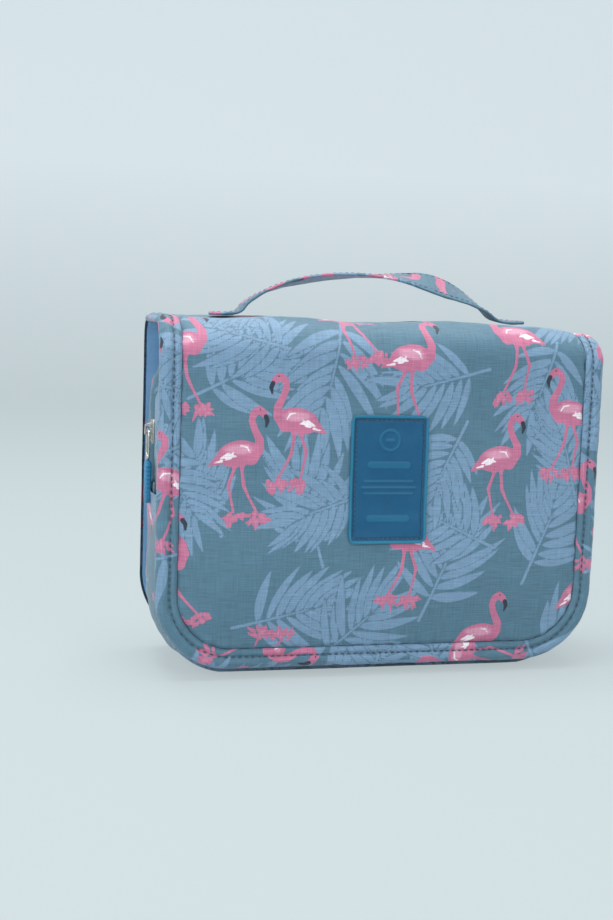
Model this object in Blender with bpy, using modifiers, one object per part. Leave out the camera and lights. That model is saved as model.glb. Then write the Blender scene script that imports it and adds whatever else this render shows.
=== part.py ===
"""Hanging toiletry bag, closed and standing: zip-around pouch, cover strip over back, top and front.

Metres, +Z up, front towards -Y. The origin is the middle of the base on the floor.
"""
import math

import bmesh
import bpy
import numpy as np

# Driving sizes.
WIDTH = 0.240            # cover strip, side to side
TOP_Z = 0.186            # outer face of the bridge
BACK_Y = 0.036           # outer face of the back cover
FRONT_Y = -0.038         # outer face of the flap
FOLD_R = 0.018           # outer radius of the fold at the front
BACK_FOLD_R = 0.012      # and at the back
FLAP_BOTTOM = 0.005      # lower hem of the flap above the floor
BACK_BOTTOM = 0.003      # lower edge of the back cover
COVER_CORNER = 0.040     # lower corners of the cover
BORDER = 0.011           # width of the flap's border
COVER_T = 0.002          # outer cloth with its backing
LINING_T = 0.0012
FOAM_T = 0.0035
GAP = 0.0003             # between pieces that touch
FLAP_GAP = 0.0065        # air between the flap's lining and the pouch

POUCH_W = WIDTH - 0.008
POUCH_H = TOP_Z - 0.0118
POUCH_R = 0.038
POUCH_FRONT = FRONT_Y + COVER_T + FOAM_T + LINING_T + 0.0008 + FLAP_GAP
SEAM_Z = 0.0932          # where the zip ends and the lid hinges
GUSSET_T = 0.002
PANEL_T = 0.002
PIPING_R = 0.0016
ZIP_Y = 0.005            # middle of the zip
TAPE_T = 0.0008

LABEL_W = 0.042
LABEL_H = 0.067
LABEL_Z = 0.105
HANDLE_HALF = 0.070
HANDLE_Y = 0.008
HANDLE_RISE = 0.022
STRAP_W = 0.020
STRAP_T = 0.0025
HOOK_Y = -0.0275
HOOK_R = 0.015
SLIDER_Z = 0.1250
PAD_X = 0.065
PAD_Z = 0.040
POCKET_ZIP_Z = 0.1413

for old in list(bpy.data.objects):
    bpy.data.objects.remove(old, do_unlink=True)

bag = bpy.data.collections.new("hanging_toiletry_bag")
bpy.context.scene.collection.children.link(bag)
helpers = bpy.data.collections.new("helpers")
bpy.context.scene.collection.children.link(helpers)

SURFACES = {
    "printed_cloth": ((0.105, 0.230, 0.300), 0.62, 0.0),
    "border_cloth": ((0.115, 0.240, 0.330), 0.60, 0.0),
    "lining_cloth": ((0.130, 0.300, 0.540), 0.70, 0.0),
    "foam": ((0.800, 0.800, 0.760), 0.90, 0.0),
    "mesh_cloth": ((0.070, 0.160, 0.260), 0.75, 0.0),
    "zip_tape": ((0.180, 0.360, 0.420), 0.75, 0.0),
    "zip_coil": ((0.330, 0.520, 0.560), 0.35, 0.0),
    "elastic": ((0.050, 0.120, 0.220), 0.70, 0.0),
    "webbing": ((0.080, 0.200, 0.300), 0.72, 0.0),
    "rubber_label": ((0.010, 0.117, 0.262), 0.45, 0.0),
    "rubber_tab": ((0.006, 0.110, 0.300), 0.50, 0.0),
    "hook_plastic": ((0.030, 0.035, 0.045), 0.35, 0.0),
    "zinc": ((0.560, 0.550, 0.520), 0.28, 1.0),
    "touch_pad": ((0.060, 0.110, 0.170), 0.90, 0.0),
}
made = {}


def surface(name):
    if name not in made:
        colour, rough, metal = SURFACES[name]
        mat = bpy.data.materials.new(name)
        mat.use_nodes = True
        node = mat.node_tree.nodes["Principled BSDF"]
        node.inputs["Base Color"].default_value = (*colour, 1.0)
        node.inputs["Roughness"].default_value = rough
        node.inputs["Metallic"].default_value = metal
        mat.diffuse_color = (*colour, 1.0)
        made[name] = mat
    return made[name]


def loft(name, rings, look, ring_closed=False, group=bag):
    """Skins equal rings of points into one closed body; end rings get caps unless the run closes."""
    rings = np.asarray(rings, float)
    count, size = rings.shape[:2]
    mesh = bpy.data.meshes.new(name)
    bm = bmesh.new()
    verts = [bm.verts.new(p) for p in rings.reshape(-1, 3)]
    last = count if ring_closed else count - 1
    for i in range(last):
        a, b = i * size, ((i + 1) % count) * size
        for j in range(size):
            k = (j + 1) % size
            bm.faces.new((verts[a + j], verts[a + k], verts[b + k], verts[b + j]))
    if not ring_closed:
        bm.faces.new(verts[:size])
        bm.faces.new(verts[(count - 1) * size:][::-1])
    bmesh.ops.recalc_face_normals(bm, faces=bm.faces)
    bm.to_mesh(mesh)
    bm.free()
    obj = bpy.data.objects.new(name, mesh)
    obj.data.materials.append(surface(look))
    group.objects.link(obj)
    return obj


def helper(obj):
    obj.hide_render = True
    obj.display_type = "WIRE"
    return obj


def outline(x0, x1, z0, z1, radii, steps=8):
    """Rectangle with its own radius per corner, as (x, z): lower left, lower right, upper right, upper left."""
    spots = [(x0, z0, 180), (x1, z0, 270), (x1, z1, 0), (x0, z1, 90)]
    points = []
    for (x, z, start), r in zip(spots, radii):
        if r <= 0:
            points.append((x, z))
            continue
        cx = x + r if x == x0 else x - r
        cz = z + r if z == z0 else z - r
        for k in range(steps + 1):
            a = math.radians(start + 90 * k / steps)
            points.append((cx + r * math.cos(a), cz + r * math.sin(a)))
    return points


def slab(name, points, y0, y1, look, flat=False):
    """Flat outline with a thickness: a filled 2D curve, stood up facing front or left lying flat."""
    curve = bpy.data.curves.new(name, "CURVE")
    curve.dimensions = "2D"
    curve.fill_mode = "BOTH"
    curve.extrude = abs(y1 - y0) / 2
    spline = curve.splines.new("POLY")
    spline.points.add(len(points) - 1)
    for spot, (x, z) in zip(spline.points, points):
        spot.co = (x, z, 0.0, 1.0)
    spline.use_cyclic_u = True
    obj = bpy.data.objects.new(name, curve)
    if flat:
        obj.location = (0, 0, (y0 + y1) / 2)
    else:
        obj.location = (0, (y0 + y1) / 2, 0)
        obj.rotation_euler = (math.pi / 2, 0, 0)
    curve.materials.append(surface(look))
    bag.objects.link(obj)
    return obj


def block(name, low, high, look, soft=0.0003):
    """Box between two corners, its edges softened."""
    bpy.ops.mesh.primitive_cube_add(size=1.0)
    obj = bpy.context.object
    obj.name = obj.data.name = name
    size = [h - l for l, h in zip(low, high)]
    for vert in obj.data.vertices:
        vert.co = [c * s for c, s in zip(vert.co, size)]
    obj.location = [(l + h) / 2 for l, h in zip(low, high)]
    mod = obj.modifiers.new("soft_edge", "BEVEL")
    mod.width = soft
    mod.segments = 2
    obj.data.materials.append(surface(look))
    for holder in list(obj.users_collection):
        holder.objects.unlink(obj)
    bag.objects.link(obj)
    return obj


def pouch_run(z_end, above, steps=10):
    """Outline of the pouch from z_end on the left, over the top or round the bottom, as point and outward normal."""
    half, r = POUCH_W / 2, POUCH_R
    run = [((-half, z_end), (-1, 0))]
    if above:
        corners = [((-half + r, POUCH_H - r), 180, -90), ((half - r, POUCH_H - r), 90, -90)]
    else:
        corners = [((-half + r, r), 180, 90), ((half - r, r), 270, 90)]
    for (cx, cz), start, sweep in corners:
        for k in range(steps + 1):
            a = math.radians(start + sweep * k / steps)
            run.append(((cx + r * math.cos(a), cz + r * math.sin(a)), (math.cos(a), math.sin(a))))
    run.append(((half, z_end), (1, 0)))
    return run


def band(name, run, out, inn, y0, y1, look):
    """Strip along the pouch's outline between two depths below it and between two places front to back."""
    rings = []
    for (x, z), (nx, nz) in run:
        a = (x - nx * out, z - nz * out)
        b = (x - nx * inn, z - nz * inn)
        rings.append([(a[0], y0, a[1]), (a[0], y1, a[1]), (b[0], y1, b[1]), (b[0], y0, b[1])])
    return loft(name, rings, look)


def cord(name, centres, normals, radius, look, sides=8):
    """Round bead along points in the XZ plane; normals point across the run, in that plane."""
    rings = []
    for (x, y, z), (nx, nz) in zip(centres, normals):
        ring = []
        for k in range(sides):
            a = 2 * math.pi * k / sides
            ring.append((x + nx * radius * math.cos(a), y + radius * math.sin(a), z + nz * radius * math.cos(a)))
        rings.append(ring)
    return loft(name, rings, look)


# The cover's outer face from the back's lower edge over the top to the flap's hem,
# cut at the middle of each fold: (y, z) with outward normal, and length from the piece's start.
def fold(cy, cz, radius, start, end, steps):
    out = []
    for k in range(steps + 1):
        a = math.radians(start + (end - start) * k / steps)
        out.append(((cy + radius * math.cos(a), cz + radius * math.sin(a)), (math.cos(a), math.sin(a))))
    return out


SLIT = math.degrees(GAP / 2 / FOLD_R)
BACK_SLIT = math.degrees(GAP / 2 / BACK_FOLD_R)
back_centre = (BACK_Y - BACK_FOLD_R, TOP_Z - BACK_FOLD_R, BACK_FOLD_R)
front_centre = (FRONT_Y + FOLD_R, TOP_Z - FOLD_R, FOLD_R)


def corner_rows(length, radius, steps=9):
    """Distances from a rounded end, from the end inwards, with the loss of half width there."""
    rows = []
    for k in range(steps + 1):
        a = math.radians(90 * k / steps)
        rows.append((radius * (1 - math.cos(a)), radius * (1 - math.sin(a))))
    rows.append((length, 0.0))
    return rows


def ribbon(name, rows, out, inn, look, trim=0.0):
    """Strip of the cover: rows of (point, normal, half width), between two depths below the outer face."""
    rings = []
    for (y, z), (ny, nz), half in rows:
        half = half - trim
        a = (y - ny * out, z - nz * out)
        b = (y - ny * inn, z - nz * inn)
        rings.append([(-half, *a), (half, *a), (half, *b), (-half, *b)])
    return loft(name, rings, look)


def back_rows(bottom, half, radius):
    rows = []
    for d, loss in corner_rows(back_centre[1] - bottom, radius):
        rows.append(((BACK_Y, bottom + d), (1, 0), half - loss))
    for p, n in fold(*back_centre, 0, 45 - BACK_SLIT, 5)[1:]:
        rows.append((p, n, half))
    return rows


def bridge_rows(half):
    rows = [(p, n, half) for p, n in fold(*back_centre, 45 + BACK_SLIT, 90, 5)]
    rows += [(p, n, half) for p, n in fold(*front_centre, 90, 135 - SLIT, 5)]
    return rows


def flap_rows(bottom, half, radius):
    rows = [(p, n, half) for p, n in fold(*front_centre, 135 + SLIT, 180, 5)[:-1]]
    for d, loss in reversed(corner_rows(front_centre[1] - bottom, radius)):
        rows.append(((FRONT_Y, bottom + d), (-1, 0), half - loss))
    return rows


half_w = WIDTH / 2

# Cover: back, bridge and flap.
ribbon("back_cover", back_rows(BACK_BOTTOM, half_w, COVER_CORNER), 0, COVER_T, "printed_cloth")
ribbon("back_lining", back_rows(BACK_BOTTOM + 0.002, half_w - 0.002, COVER_CORNER - 0.002),
       COVER_T + GAP, COVER_T + GAP + LINING_T, "lining_cloth")
ribbon("bridge_cover", bridge_rows(half_w), 0, COVER_T, "printed_cloth")
ribbon("bridge_lining", bridge_rows(half_w - 0.002), COVER_T + GAP, COVER_T + GAP + LINING_T, "lining_cloth")

panel_half = half_w - BORDER
foam_in = COVER_T + GAP + FOAM_T
ribbon("flap_panel", flap_rows(FLAP_BOTTOM + BORDER, panel_half, COVER_CORNER - BORDER), 0, COVER_T, "printed_cloth")
ribbon("flap_foam", flap_rows(FLAP_BOTTOM + BORDER, panel_half, COVER_CORNER - BORDER),
       COVER_T + GAP, foam_in, "foam")
lining_out = foam_in + GAP
lining_in = lining_out + LINING_T + 0.0002
ribbon("flap_lining", flap_rows(FLAP_BOTTOM, half_w, COVER_CORNER), lining_out, lining_in, "lining_cloth")


def border_pairs():
    """Outer and inner edge of the flap's border, as (half-turn side, x, point, normal), down one side and up the other."""
    left = []
    outer = flap_rows(FLAP_BOTTOM, half_w, COVER_CORNER)
    inner = flap_rows(FLAP_BOTTOM + BORDER - GAP, panel_half + GAP, COVER_CORNER - BORDER + GAP)
    for o, i in zip(outer, inner):
        left.append((o, i))
    return left


border = []
for (po, no, ho), (pi, ni, hi) in border_pairs():
    border.append((-1, po, no, ho, pi, ni, hi))
for (po, no, ho), (pi, ni, hi) in reversed(border_pairs()):
    border.append((1, po, no, ho, pi, ni, hi))
rings = []
for side, po, no, ho, pi, ni, hi in border:
    ring = []
    for (p, n, h), depth in (((po, no, ho), 0.0008), ((pi, ni, hi), 0.0003), ((pi, ni, hi), foam_in), ((po, no, ho), foam_in)):
        ring.append((side * h, p[0] - n[0] * depth, p[1] - n[1] * depth))
    rings.append(ring)
loft("flap_border", rings, "border_cloth")

# Label: base with a raised rim and three plain bars.
label_back = FRONT_Y - GAP
lx, lz0, lz1 = LABEL_W / 2, LABEL_Z - LABEL_H / 2, LABEL_Z + LABEL_H / 2
rings = []
for inset, depth in ((0.0002, 0.0), (0.0, 0.0004), (0.0, 0.0014), (0.0003, 0.0018), (0.0021, 0.0018),
                     (0.0025, 0.0014), (0.0026, 0.0012)):
    pts = outline(-lx + inset, lx - inset, lz0 + inset, lz1 - inset, [0.0045 - inset * 0.6] * 4, 5)
    rings.append([(x, label_back - depth, z) for x, z in pts])
loft("label_patch", rings, "rubber_label")

# Pouch: gusset, panels, piping, zip and liner.
gusset_back = BACK_Y - COVER_T - GAP - LINING_T - GAP
gusset_front = POUCH_FRONT + PIPING_R * 2 - 0.0005
zip_half = 0.0030
below = pouch_run(SEAM_Z - GAP / 2, False)
over = pouch_run(SEAM_Z + GAP / 2, True)
over_tape = pouch_run(SEAM_Z + 0.0012, True)
band("lower_gusset", below, 0, GUSSET_T, gusset_back, gusset_front, "printed_cloth")
band("rear_gusset", over, 0, GUSSET_T, gusset_back, ZIP_Y + zip_half, "printed_cloth")
band("lid_gusset", over, 0, GUSSET_T, ZIP_Y - zip_half, gusset_front, "printed_cloth")
tape_out = GUSSET_T + GAP
band("zip_tape_rear", over_tape, tape_out, tape_out + TAPE_T, ZIP_Y + 0.0085, ZIP_Y + GAP / 2, "zip_tape")
band("zip_tape_front", over_tape, tape_out, tape_out + TAPE_T, ZIP_Y - GAP / 2, ZIP_Y - 0.0085, "zip_tape")
band("zip_coil_rear", over_tape, GAP, GUSSET_T, ZIP_Y + 0.0027, ZIP_Y + GAP / 2, "zip_coil")
band("zip_coil_front", over_tape, GAP, GUSSET_T, ZIP_Y - GAP / 2, ZIP_Y - 0.0027, "zip_coil")

inset = 2 * PIPING_R + GAP
pr = POUCH_R - inset
px = POUCH_W / 2 - inset
panel_back = POUCH_FRONT + PANEL_T
slab("lower_front_panel", outline(-px, px, inset, SEAM_Z - 0.0002, [pr, pr, 0, 0]), POUCH_FRONT, panel_back, "printed_cloth")
slab("lid_panel", outline(-px, px, SEAM_Z + 0.0002, POUCH_H - inset, [0, 0, pr, pr]), POUCH_FRONT, panel_back, "printed_cloth")
slab("lid_lining", outline(-px, px, SEAM_Z + 0.0006, POUCH_H - inset, [0, 0, pr, pr]),
     panel_back + GAP, panel_back + GAP + 0.0010, "lining_cloth")
pocket_y = panel_back + GAP + 0.0010 + GAP
slab("lid_pocket", outline(-(POUCH_W / 2 - 0.021), POUCH_W / 2 - 0.021, SEAM_Z + 0.005, 0.1400, [0.006, 0.006, 0, 0], 3),
     pocket_y, pocket_y + 0.0008, "mesh_cloth")
slab("lid_pocket_binding", outline(-(POUCH_W / 2 - 0.021), POUCH_W / 2 - 0.021, 0.1400 + GAP, 0.1470, [0, 0, 0.001, 0.001], 2),
     pocket_y, pocket_y + 0.0014, "elastic")

bead_y = gusset_front - GAP - PIPING_R
for name, run in (("lower_piping", pouch_run(SEAM_Z - 0.0012, False)), ("lid_piping", pouch_run(SEAM_Z + 0.0012, True))):
    centres = [(x - nx * PIPING_R, bead_y, z - nz * PIPING_R) for (x, z), (nx, nz) in run]
    cord(name, centres, [n for _, n in run], PIPING_R, "border_cloth")

liner_front = ZIP_Y + 0.0088
rings = []
for depth, y in ((tape_out, gusset_back - GAP), (tape_out, liner_front), (tape_out + TAPE_T, liner_front),
                 (tape_out + TAPE_T, gusset_back - GAP - TAPE_T)):
    h, r = POUCH_W / 2 - depth, POUCH_R - depth
    rings.append([(x, y, z) for x, z in outline(-h, h, depth, POUCH_H - depth, [r] * 4, 8)])
loft("compartment_liner", rings, "lining_cloth")

# Elastic run with three loops along the back wall of the compartment.
wall = gusset_back - GAP - TAPE_T - GAP
loops = []
LOOP_X, LOOP_HALF, LOOP_DEEP = (-0.056, 0.0, 0.056), 0.021, 0.016
for cx in LOOP_X:
    loops.append((cx - LOOP_HALF - 0.0055, 0.0))
    for k in range(13):
        a = math.pi * k / 12
        loops.append((cx - LOOP_HALF * math.cos(a), LOOP_DEEP * math.sin(a) ** 0.8))
    loops.append((cx + LOOP_HALF + 0.0055, 0.0))
path = np.array(loops)
step = np.gradient(path, axis=0)
step /= np.linalg.norm(step, axis=1)[:, None]
rings = []
for (x, d), (tx, td) in zip(path, step):
    for_out = (x, wall - d)
    for_in = (x - td * 0.0012, wall - d - tx * 0.0012)
    rings.append([(for_out[0], for_out[1], 0.080), (for_out[0], for_out[1], 0.112),
                  (for_in[0], for_in[1], 0.112), (for_in[0], for_in[1], 0.080)])
loft("elastic_loops", rings, "elastic")

# Touch-fastener pads, two pairs.
flap_inner = FRONT_Y + lining_in
for side, tag in ((-1, "left"), (1, "right")):
    cx = side * PAD_X
    pts = outline(cx - 0.014, cx + 0.014, PAD_Z - 0.010, PAD_Z + 0.010, [0.002] * 4, 3)
    slab(f"loop_pad_{tag}", pts, POUCH_FRONT - GAP, POUCH_FRONT - 0.0026, "touch_pad")
    slab(f"hook_pad_{tag}", pts, flap_inner + GAP, POUCH_FRONT - 0.0029, "touch_pad")

# Cloth tabs over both ends of the zip.
for side, tag in ((-1, "left"), (1, "right")):
    x0, x1 = sorted((side * (POUCH_W / 2 + GAP), side * (POUCH_W / 2 + GAP + 0.0012)))
    block(f"zip_end_{tag}", (x0, ZIP_Y - 0.008, 0.0890), (x1, ZIP_Y + 0.008, 0.0975), "border_cloth")

# Slider of the main zip: plate joined with an open staple for the ring.
sx = -(POUCH_W / 2 + GAP)
plate = []
for x, inset in ((sx, 0.0004), (sx - 0.0004, 0.0), (sx - 0.0016, 0.0), (sx - 0.0020, 0.0005)):
    pts = outline(ZIP_Y - 0.0045 + inset, ZIP_Y + 0.0045 - inset, SLIDER_Z - 0.0070 + inset, SLIDER_Z + 0.0060 - inset, [0.0018] * 4, 3)
    plate.append([(x, y, z) for y, z in pts])
plate_obj = loft("zip_slider", plate, "zinc")
RING_X = sx - 0.0036
ring_top = SLIDER_Z
staple_profile = [(sx - 0.0015, SLIDER_Z + 0.0045), (sx - 0.0055, SLIDER_Z + 0.0030), (sx - 0.0058, SLIDER_Z - 0.0022),
                  (sx - 0.0024, SLIDER_Z - 0.0024), (sx - 0.0024, SLIDER_Z - 0.0015), (sx - 0.0048, SLIDER_Z - 0.0013),
                  (sx - 0.0047, SLIDER_Z + 0.0014), (sx - 0.0024, SLIDER_Z + 0.0015), (sx - 0.0015, SLIDER_Z + 0.0015)]
staple = helper(loft("slider_staple", [[(x, y, z) for x, z in staple_profile] for y in (ZIP_Y - 0.0012, ZIP_Y + 0.0012)],
                     "zinc", group=helpers))
join = plate_obj.modifiers.new("join_staple", "BOOLEAN")
join.operation = "UNION"
join.solver = "EXACT"
join.object = staple

# Wire ring and rubber tab of the main zip.
wire, ring_half, ring_long = 0.0008, 0.0040, 0.0150
track = outline(-ring_half, ring_half, ring_top - ring_long, ring_top, [0.0030] * 4, 4)
centres = np.array([(RING_X, ZIP_Y + a, b) for a, b in track])
ahead = np.roll(centres, -1, axis=0) - np.roll(centres, 1, axis=0)
ahead /= np.linalg.norm(ahead, axis=1)[:, None]
across = np.cross(ahead, (1.0, 0, 0))
rings = []
for c, n in zip(centres, across):
    rings.append([c + wire * (math.cos(t) * n + math.sin(t) * np.array((1.0, 0, 0))) for t in np.linspace(0, 2 * math.pi, 9)[:-1]])
loft("zip_pull_ring", rings, "zinc", ring_closed=True)
tab_top = ring_top - ring_long - wire - GAP
rings = []
for x, inset in ((RING_X + 0.0015, 0.0006), (RING_X + 0.0011, 0.0), (RING_X - 0.0011, 0.0), (RING_X - 0.0015, 0.0006)):
    pts = outline(ZIP_Y - 0.0045 + inset, ZIP_Y + 0.0045 - inset, tab_top - 0.023 + inset, tab_top - inset, [0.004, 0.004, 0.002, 0.002], 4)
    rings.append([(x, y, z) for y, z in pts])
loft("zip_pull_tab", rings, "rubber_tab")

# Handle: two sewn feet and an arch, narrow where it leaves them.
foot_top = TOP_Z + GAP + 0.0016
for side, tag in ((-1, "left"), (1, "right")):
    cx = side * (HANDLE_HALF + 0.006)
    pts = outline(cx - 0.012, cx + 0.012, HANDLE_Y - 0.011, HANDLE_Y + 0.011, [0.002] * 4, 3)
    slab(f"handle_foot_{tag}", pts, TOP_Z + GAP, foot_top, "border_cloth", flat=True)
arch = []
for k in range(33):
    a = math.pi * k / 32
    x = -HANDLE_HALF * math.cos(a)
    arch.append((x, foot_top + GAP + 0.0002 + HANDLE_RISE * math.sin(a) ** 1.2))
arch = np.array(arch)
run = np.gradient(arch, axis=0)
run /= np.linalg.norm(run, axis=1)[:, None]
rings = []
for (x, z), (tx, tz) in zip(arch, run):
    rise = z - (foot_top + GAP + 0.0002)
    half = min(STRAP_W / 2, 0.0010 + 0.75 * rise)
    if rise < 0.001:
        tx, tz = 1.0, 0.0
    nx, nz = -tz * STRAP_T, tx * STRAP_T
    rings.append([(x, HANDLE_Y - half, z), (x, HANDLE_Y + half, z), (x + nx, HANDLE_Y + half, z + nz), (x + nx, HANDLE_Y - half, z + nz)])
loft("handle_strap", rings, "printed_cloth")

# Flap's inner side: zip pocket, hook anchor, swivel hook.
slab("flap_pocket", outline(-(half_w - 0.022), half_w - 0.022, 0.0820, POCKET_ZIP_Z - 0.0053, [0.008, 0.008, 0, 0], 4),
     flap_inner + GAP, flap_inner + GAP + 0.0008, "mesh_cloth")
slab("pocket_zip_tape", outline(-(half_w - 0.022), half_w - 0.022, POCKET_ZIP_Z - 0.0050, POCKET_ZIP_Z + 0.0050, [0.001] * 4, 2),
     flap_inner + GAP, flap_inner + GAP + 0.0008, "zip_tape")
coil_y = flap_inner + GAP + 0.0008 + GAP
slab("pocket_coil", outline(-(half_w - 0.026), half_w - 0.026, POCKET_ZIP_Z - 0.0014, POCKET_ZIP_Z + 0.0014, [0.0006] * 4, 2),
     coil_y, coil_y + 0.0012, "zip_coil")
slide_y = coil_y + 0.0012 + GAP
# The pocket slider stops 11 mm short of the end of its coil.
pull_x = -(half_w - 0.035)
slab("pocket_slider", outline(pull_x - 0.0040, pull_x + 0.0040, POCKET_ZIP_Z - 0.0032, POCKET_ZIP_Z + 0.0032, [0.0012] * 4, 3),
     slide_y, slide_y + 0.0009, "zinc")
slab("pocket_pull", outline(pull_x - 0.0025, pull_x + 0.0025, POCKET_ZIP_Z - 0.0155, POCKET_ZIP_Z + 0.0018, [0.0022] * 4, 4),
     slide_y + 0.0009 + GAP, slide_y + 0.0009 + GAP + 0.0008, "rubber_tab")

slab("hook_anchor", outline(-0.0125, 0.0125, 0.0160, 0.0300, [0.001] * 4, 2), flap_inner + GAP, flap_inner + GAP + 0.0012, "webbing")
web_y = flap_inner + GAP + 0.0012 + GAP
slab("hook_webbing", outline(-0.0090, 0.0090, 0.0165, 0.0300, [0.0015] * 4, 3), web_y, web_y + 0.0022, "webbing")
bpy.ops.mesh.primitive_cylinder_add(vertices=20, radius=0.0021, depth=0.0059, location=(0, HOOK_Y, 0.0300 + GAP + 0.00295))
socket = bpy.context.object
socket.name = socket.data.name = "swivel_socket"
soft = socket.modifiers.new("soft_edge", "BEVEL")
soft.width = 0.0004
soft.segments = 2
soft.limit_method = "ANGLE"
socket.data.materials.append(surface("hook_plastic"))
for holder in list(socket.users_collection):
    holder.objects.unlink(socket)
bag.objects.link(socket)
centre_z = 0.0620
path = [(0.0, 0.0365), (0.0, 0.0400), (0.0005, 0.0440)]
for k in range(17):
    a = math.radians(-80 + 285 * k / 16)
    path.append((HOOK_R * math.cos(a), centre_z + HOOK_R * math.sin(a)))
path = np.array(path)
run = np.gradient(path, axis=0)
run[0] = (0.0, 1.0)
run /= np.linalg.norm(run, axis=1)[:, None]
rings = []
for n, ((x, z), (tx, tz)) in enumerate(zip(path, run)):
    wide = 0.0022 if n > 2 else 0.0019
    wide = wide if n < len(path) - 1 else 0.0014
    ring = []
    for k in range(10):
        t = 2 * math.pi * k / 10
        ring.append((x + tz * wide * math.cos(t), HOOK_Y + 0.0016 * math.sin(t), z - tx * wide * math.cos(t)))
    rings.append(ring)
loft("hanging_hook", rings, "hook_plastic")

# Each moving group hangs from an empty on its joint's axis.
half_fold = math.sqrt(0.5)
AXES = {
    "lid": ((0, POUCH_FRONT, SEAM_Z), ["lid_panel", "lid_gusset", "zip_tape_front", "zip_coil_front", "lid_piping",
                                       "lid_lining", "lid_pocket", "lid_pocket_binding"]),
    "bridge": ((0, back_centre[0] + BACK_FOLD_R * half_fold, back_centre[1] + BACK_FOLD_R * half_fold),
               ["bridge_cover", "bridge_lining", "handle_foot_left", "handle_foot_right"]),
    "handle": ((0, HANDLE_Y, foot_top + GAP + 0.0018), ["handle_strap"]),
    "flap": ((0, front_centre[0] - FOLD_R * half_fold, front_centre[1] + FOLD_R * half_fold),
             ["flap_panel", "flap_border", "flap_foam", "flap_lining", "label_patch", "flap_pocket", "pocket_zip_tape",
              "pocket_coil", "hook_pad_left", "hook_pad_right", "hook_anchor"]),
    "hook_link": ((0, HOOK_Y - 0.0008, 0.0155), ["hook_webbing", "swivel_socket", "hanging_hook"]),
    "slider": ((sx, ZIP_Y, SLIDER_Z), ["zip_slider"]),
    "zip_pull": ((RING_X, ZIP_Y, SLIDER_Z), ["zip_pull_ring", "zip_pull_tab"]),
    "pocket_slider_body": ((pull_x, slide_y, POCKET_ZIP_Z), ["pocket_slider"]),
    "pocket_pull_body": ((pull_x, slide_y, POCKET_ZIP_Z), ["pocket_pull"]),
}
for body, (spot, pieces) in AXES.items():
    axis = bpy.data.objects.new(f"{body}_axis", None)
    axis.location = spot
    axis.empty_display_size = 0.02
    helpers.objects.link(axis)
    for piece in pieces:
        obj = bpy.data.objects[piece]
        obj.parent = axis
        obj.matrix_parent_inverse.translation = [-v for v in spot]
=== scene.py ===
import math
import bpy
from mathutils import Matrix
import numpy as np


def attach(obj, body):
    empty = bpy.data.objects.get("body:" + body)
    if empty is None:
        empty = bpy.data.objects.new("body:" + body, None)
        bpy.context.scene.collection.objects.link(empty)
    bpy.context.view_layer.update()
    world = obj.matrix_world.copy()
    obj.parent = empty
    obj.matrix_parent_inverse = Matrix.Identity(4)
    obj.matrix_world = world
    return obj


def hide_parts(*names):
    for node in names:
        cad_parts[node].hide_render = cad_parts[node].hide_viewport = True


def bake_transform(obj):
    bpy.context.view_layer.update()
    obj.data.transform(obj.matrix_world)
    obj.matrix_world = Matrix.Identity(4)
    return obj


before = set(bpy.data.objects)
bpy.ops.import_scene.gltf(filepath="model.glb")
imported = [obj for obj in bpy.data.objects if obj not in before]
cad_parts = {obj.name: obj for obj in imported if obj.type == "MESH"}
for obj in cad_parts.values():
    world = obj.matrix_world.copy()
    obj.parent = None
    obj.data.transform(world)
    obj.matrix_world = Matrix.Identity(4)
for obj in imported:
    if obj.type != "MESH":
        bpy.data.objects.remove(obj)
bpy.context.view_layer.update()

# Room: a pale floor that sweeps up into a pale wall behind the bag. Painted board, plain and
# matt, with no edge in sight, so that only the bag and its soft shadow are seen.
PALE = (0.735, 0.815, 0.850)


def tinted(name, colour, rough, metal=0.0):
    """New material with a Principled shader; returns the material, its nodes, its links and the shader."""
    mat = bpy.data.materials.new(name)
    mat.use_nodes = True
    nodes, links = mat.node_tree.nodes, mat.node_tree.links
    shader = nodes["Principled BSDF"]
    shader.inputs["Base Color"].default_value = (*colour, 1.0)
    shader.inputs["Roughness"].default_value = rough
    shader.inputs["Metallic"].default_value = metal
    return mat, nodes, links, shader


def grid(name, points, mat, wrap_rows=False, wrap_cols=False, flip=False, uv=None, fields=None, capped=()):
    """Mesh from a two-parameter array of points (rows, columns, 3); uv is the same grid of cloth places
    in metres, and fields are numbers per point that the material reads by name. capped names the rows,
    0 or -1, that a flat end face closes."""
    rows, cols = points.shape[:2]
    index = np.arange(rows * cols).reshape(rows, cols)
    if wrap_rows:
        index = np.vstack([index, index[:1]])
    if wrap_cols:
        index = np.hstack([index, index[:, :1]])
    quads = np.stack([index[:-1, :-1], index[:-1, 1:], index[1:, 1:], index[1:, :-1]], axis=-1).reshape(-1, 4)
    turn = -1 if flip else 1
    corners = quads[:, ::turn].reshape(-1)
    starts = np.arange(0, quads.size, 4)
    for end in capped:
        starts = np.append(starts, len(corners))
        corners = np.append(corners, index[end, :cols][:: turn * (-1 if end == 0 else 1)])
    mesh = bpy.data.meshes.new(name)
    mesh.vertices.add(rows * cols)
    mesh.vertices.foreach_set("co", points.reshape(-1).astype(np.float32))
    mesh.loops.add(len(corners))
    mesh.loops.foreach_set("vertex_index", corners.astype(np.int32))
    mesh.polygons.add(len(starts))
    mesh.polygons.foreach_set("loop_start", starts.astype(np.int32))
    mesh.polygons.foreach_set("use_smooth", np.ones(len(starts), bool))
    mesh.update(calc_edges=True)
    if uv is not None:
        layer = mesh.uv_layers.new(name="cloth")
        layer.data.foreach_set("uv", uv.reshape(-1, 2)[corners].reshape(-1).astype(np.float32))
    for key, values in (fields or {}).items():
        spot = mesh.attributes.new(key, "FLOAT", "POINT")
        spot.data.foreach_set("value", values.reshape(-1).astype(np.float32))
    mesh.validate()
    obj = bpy.data.objects.new(name, mesh)
    mesh.materials.append(mat)
    bpy.context.scene.collection.objects.link(obj)
    return obj


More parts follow.
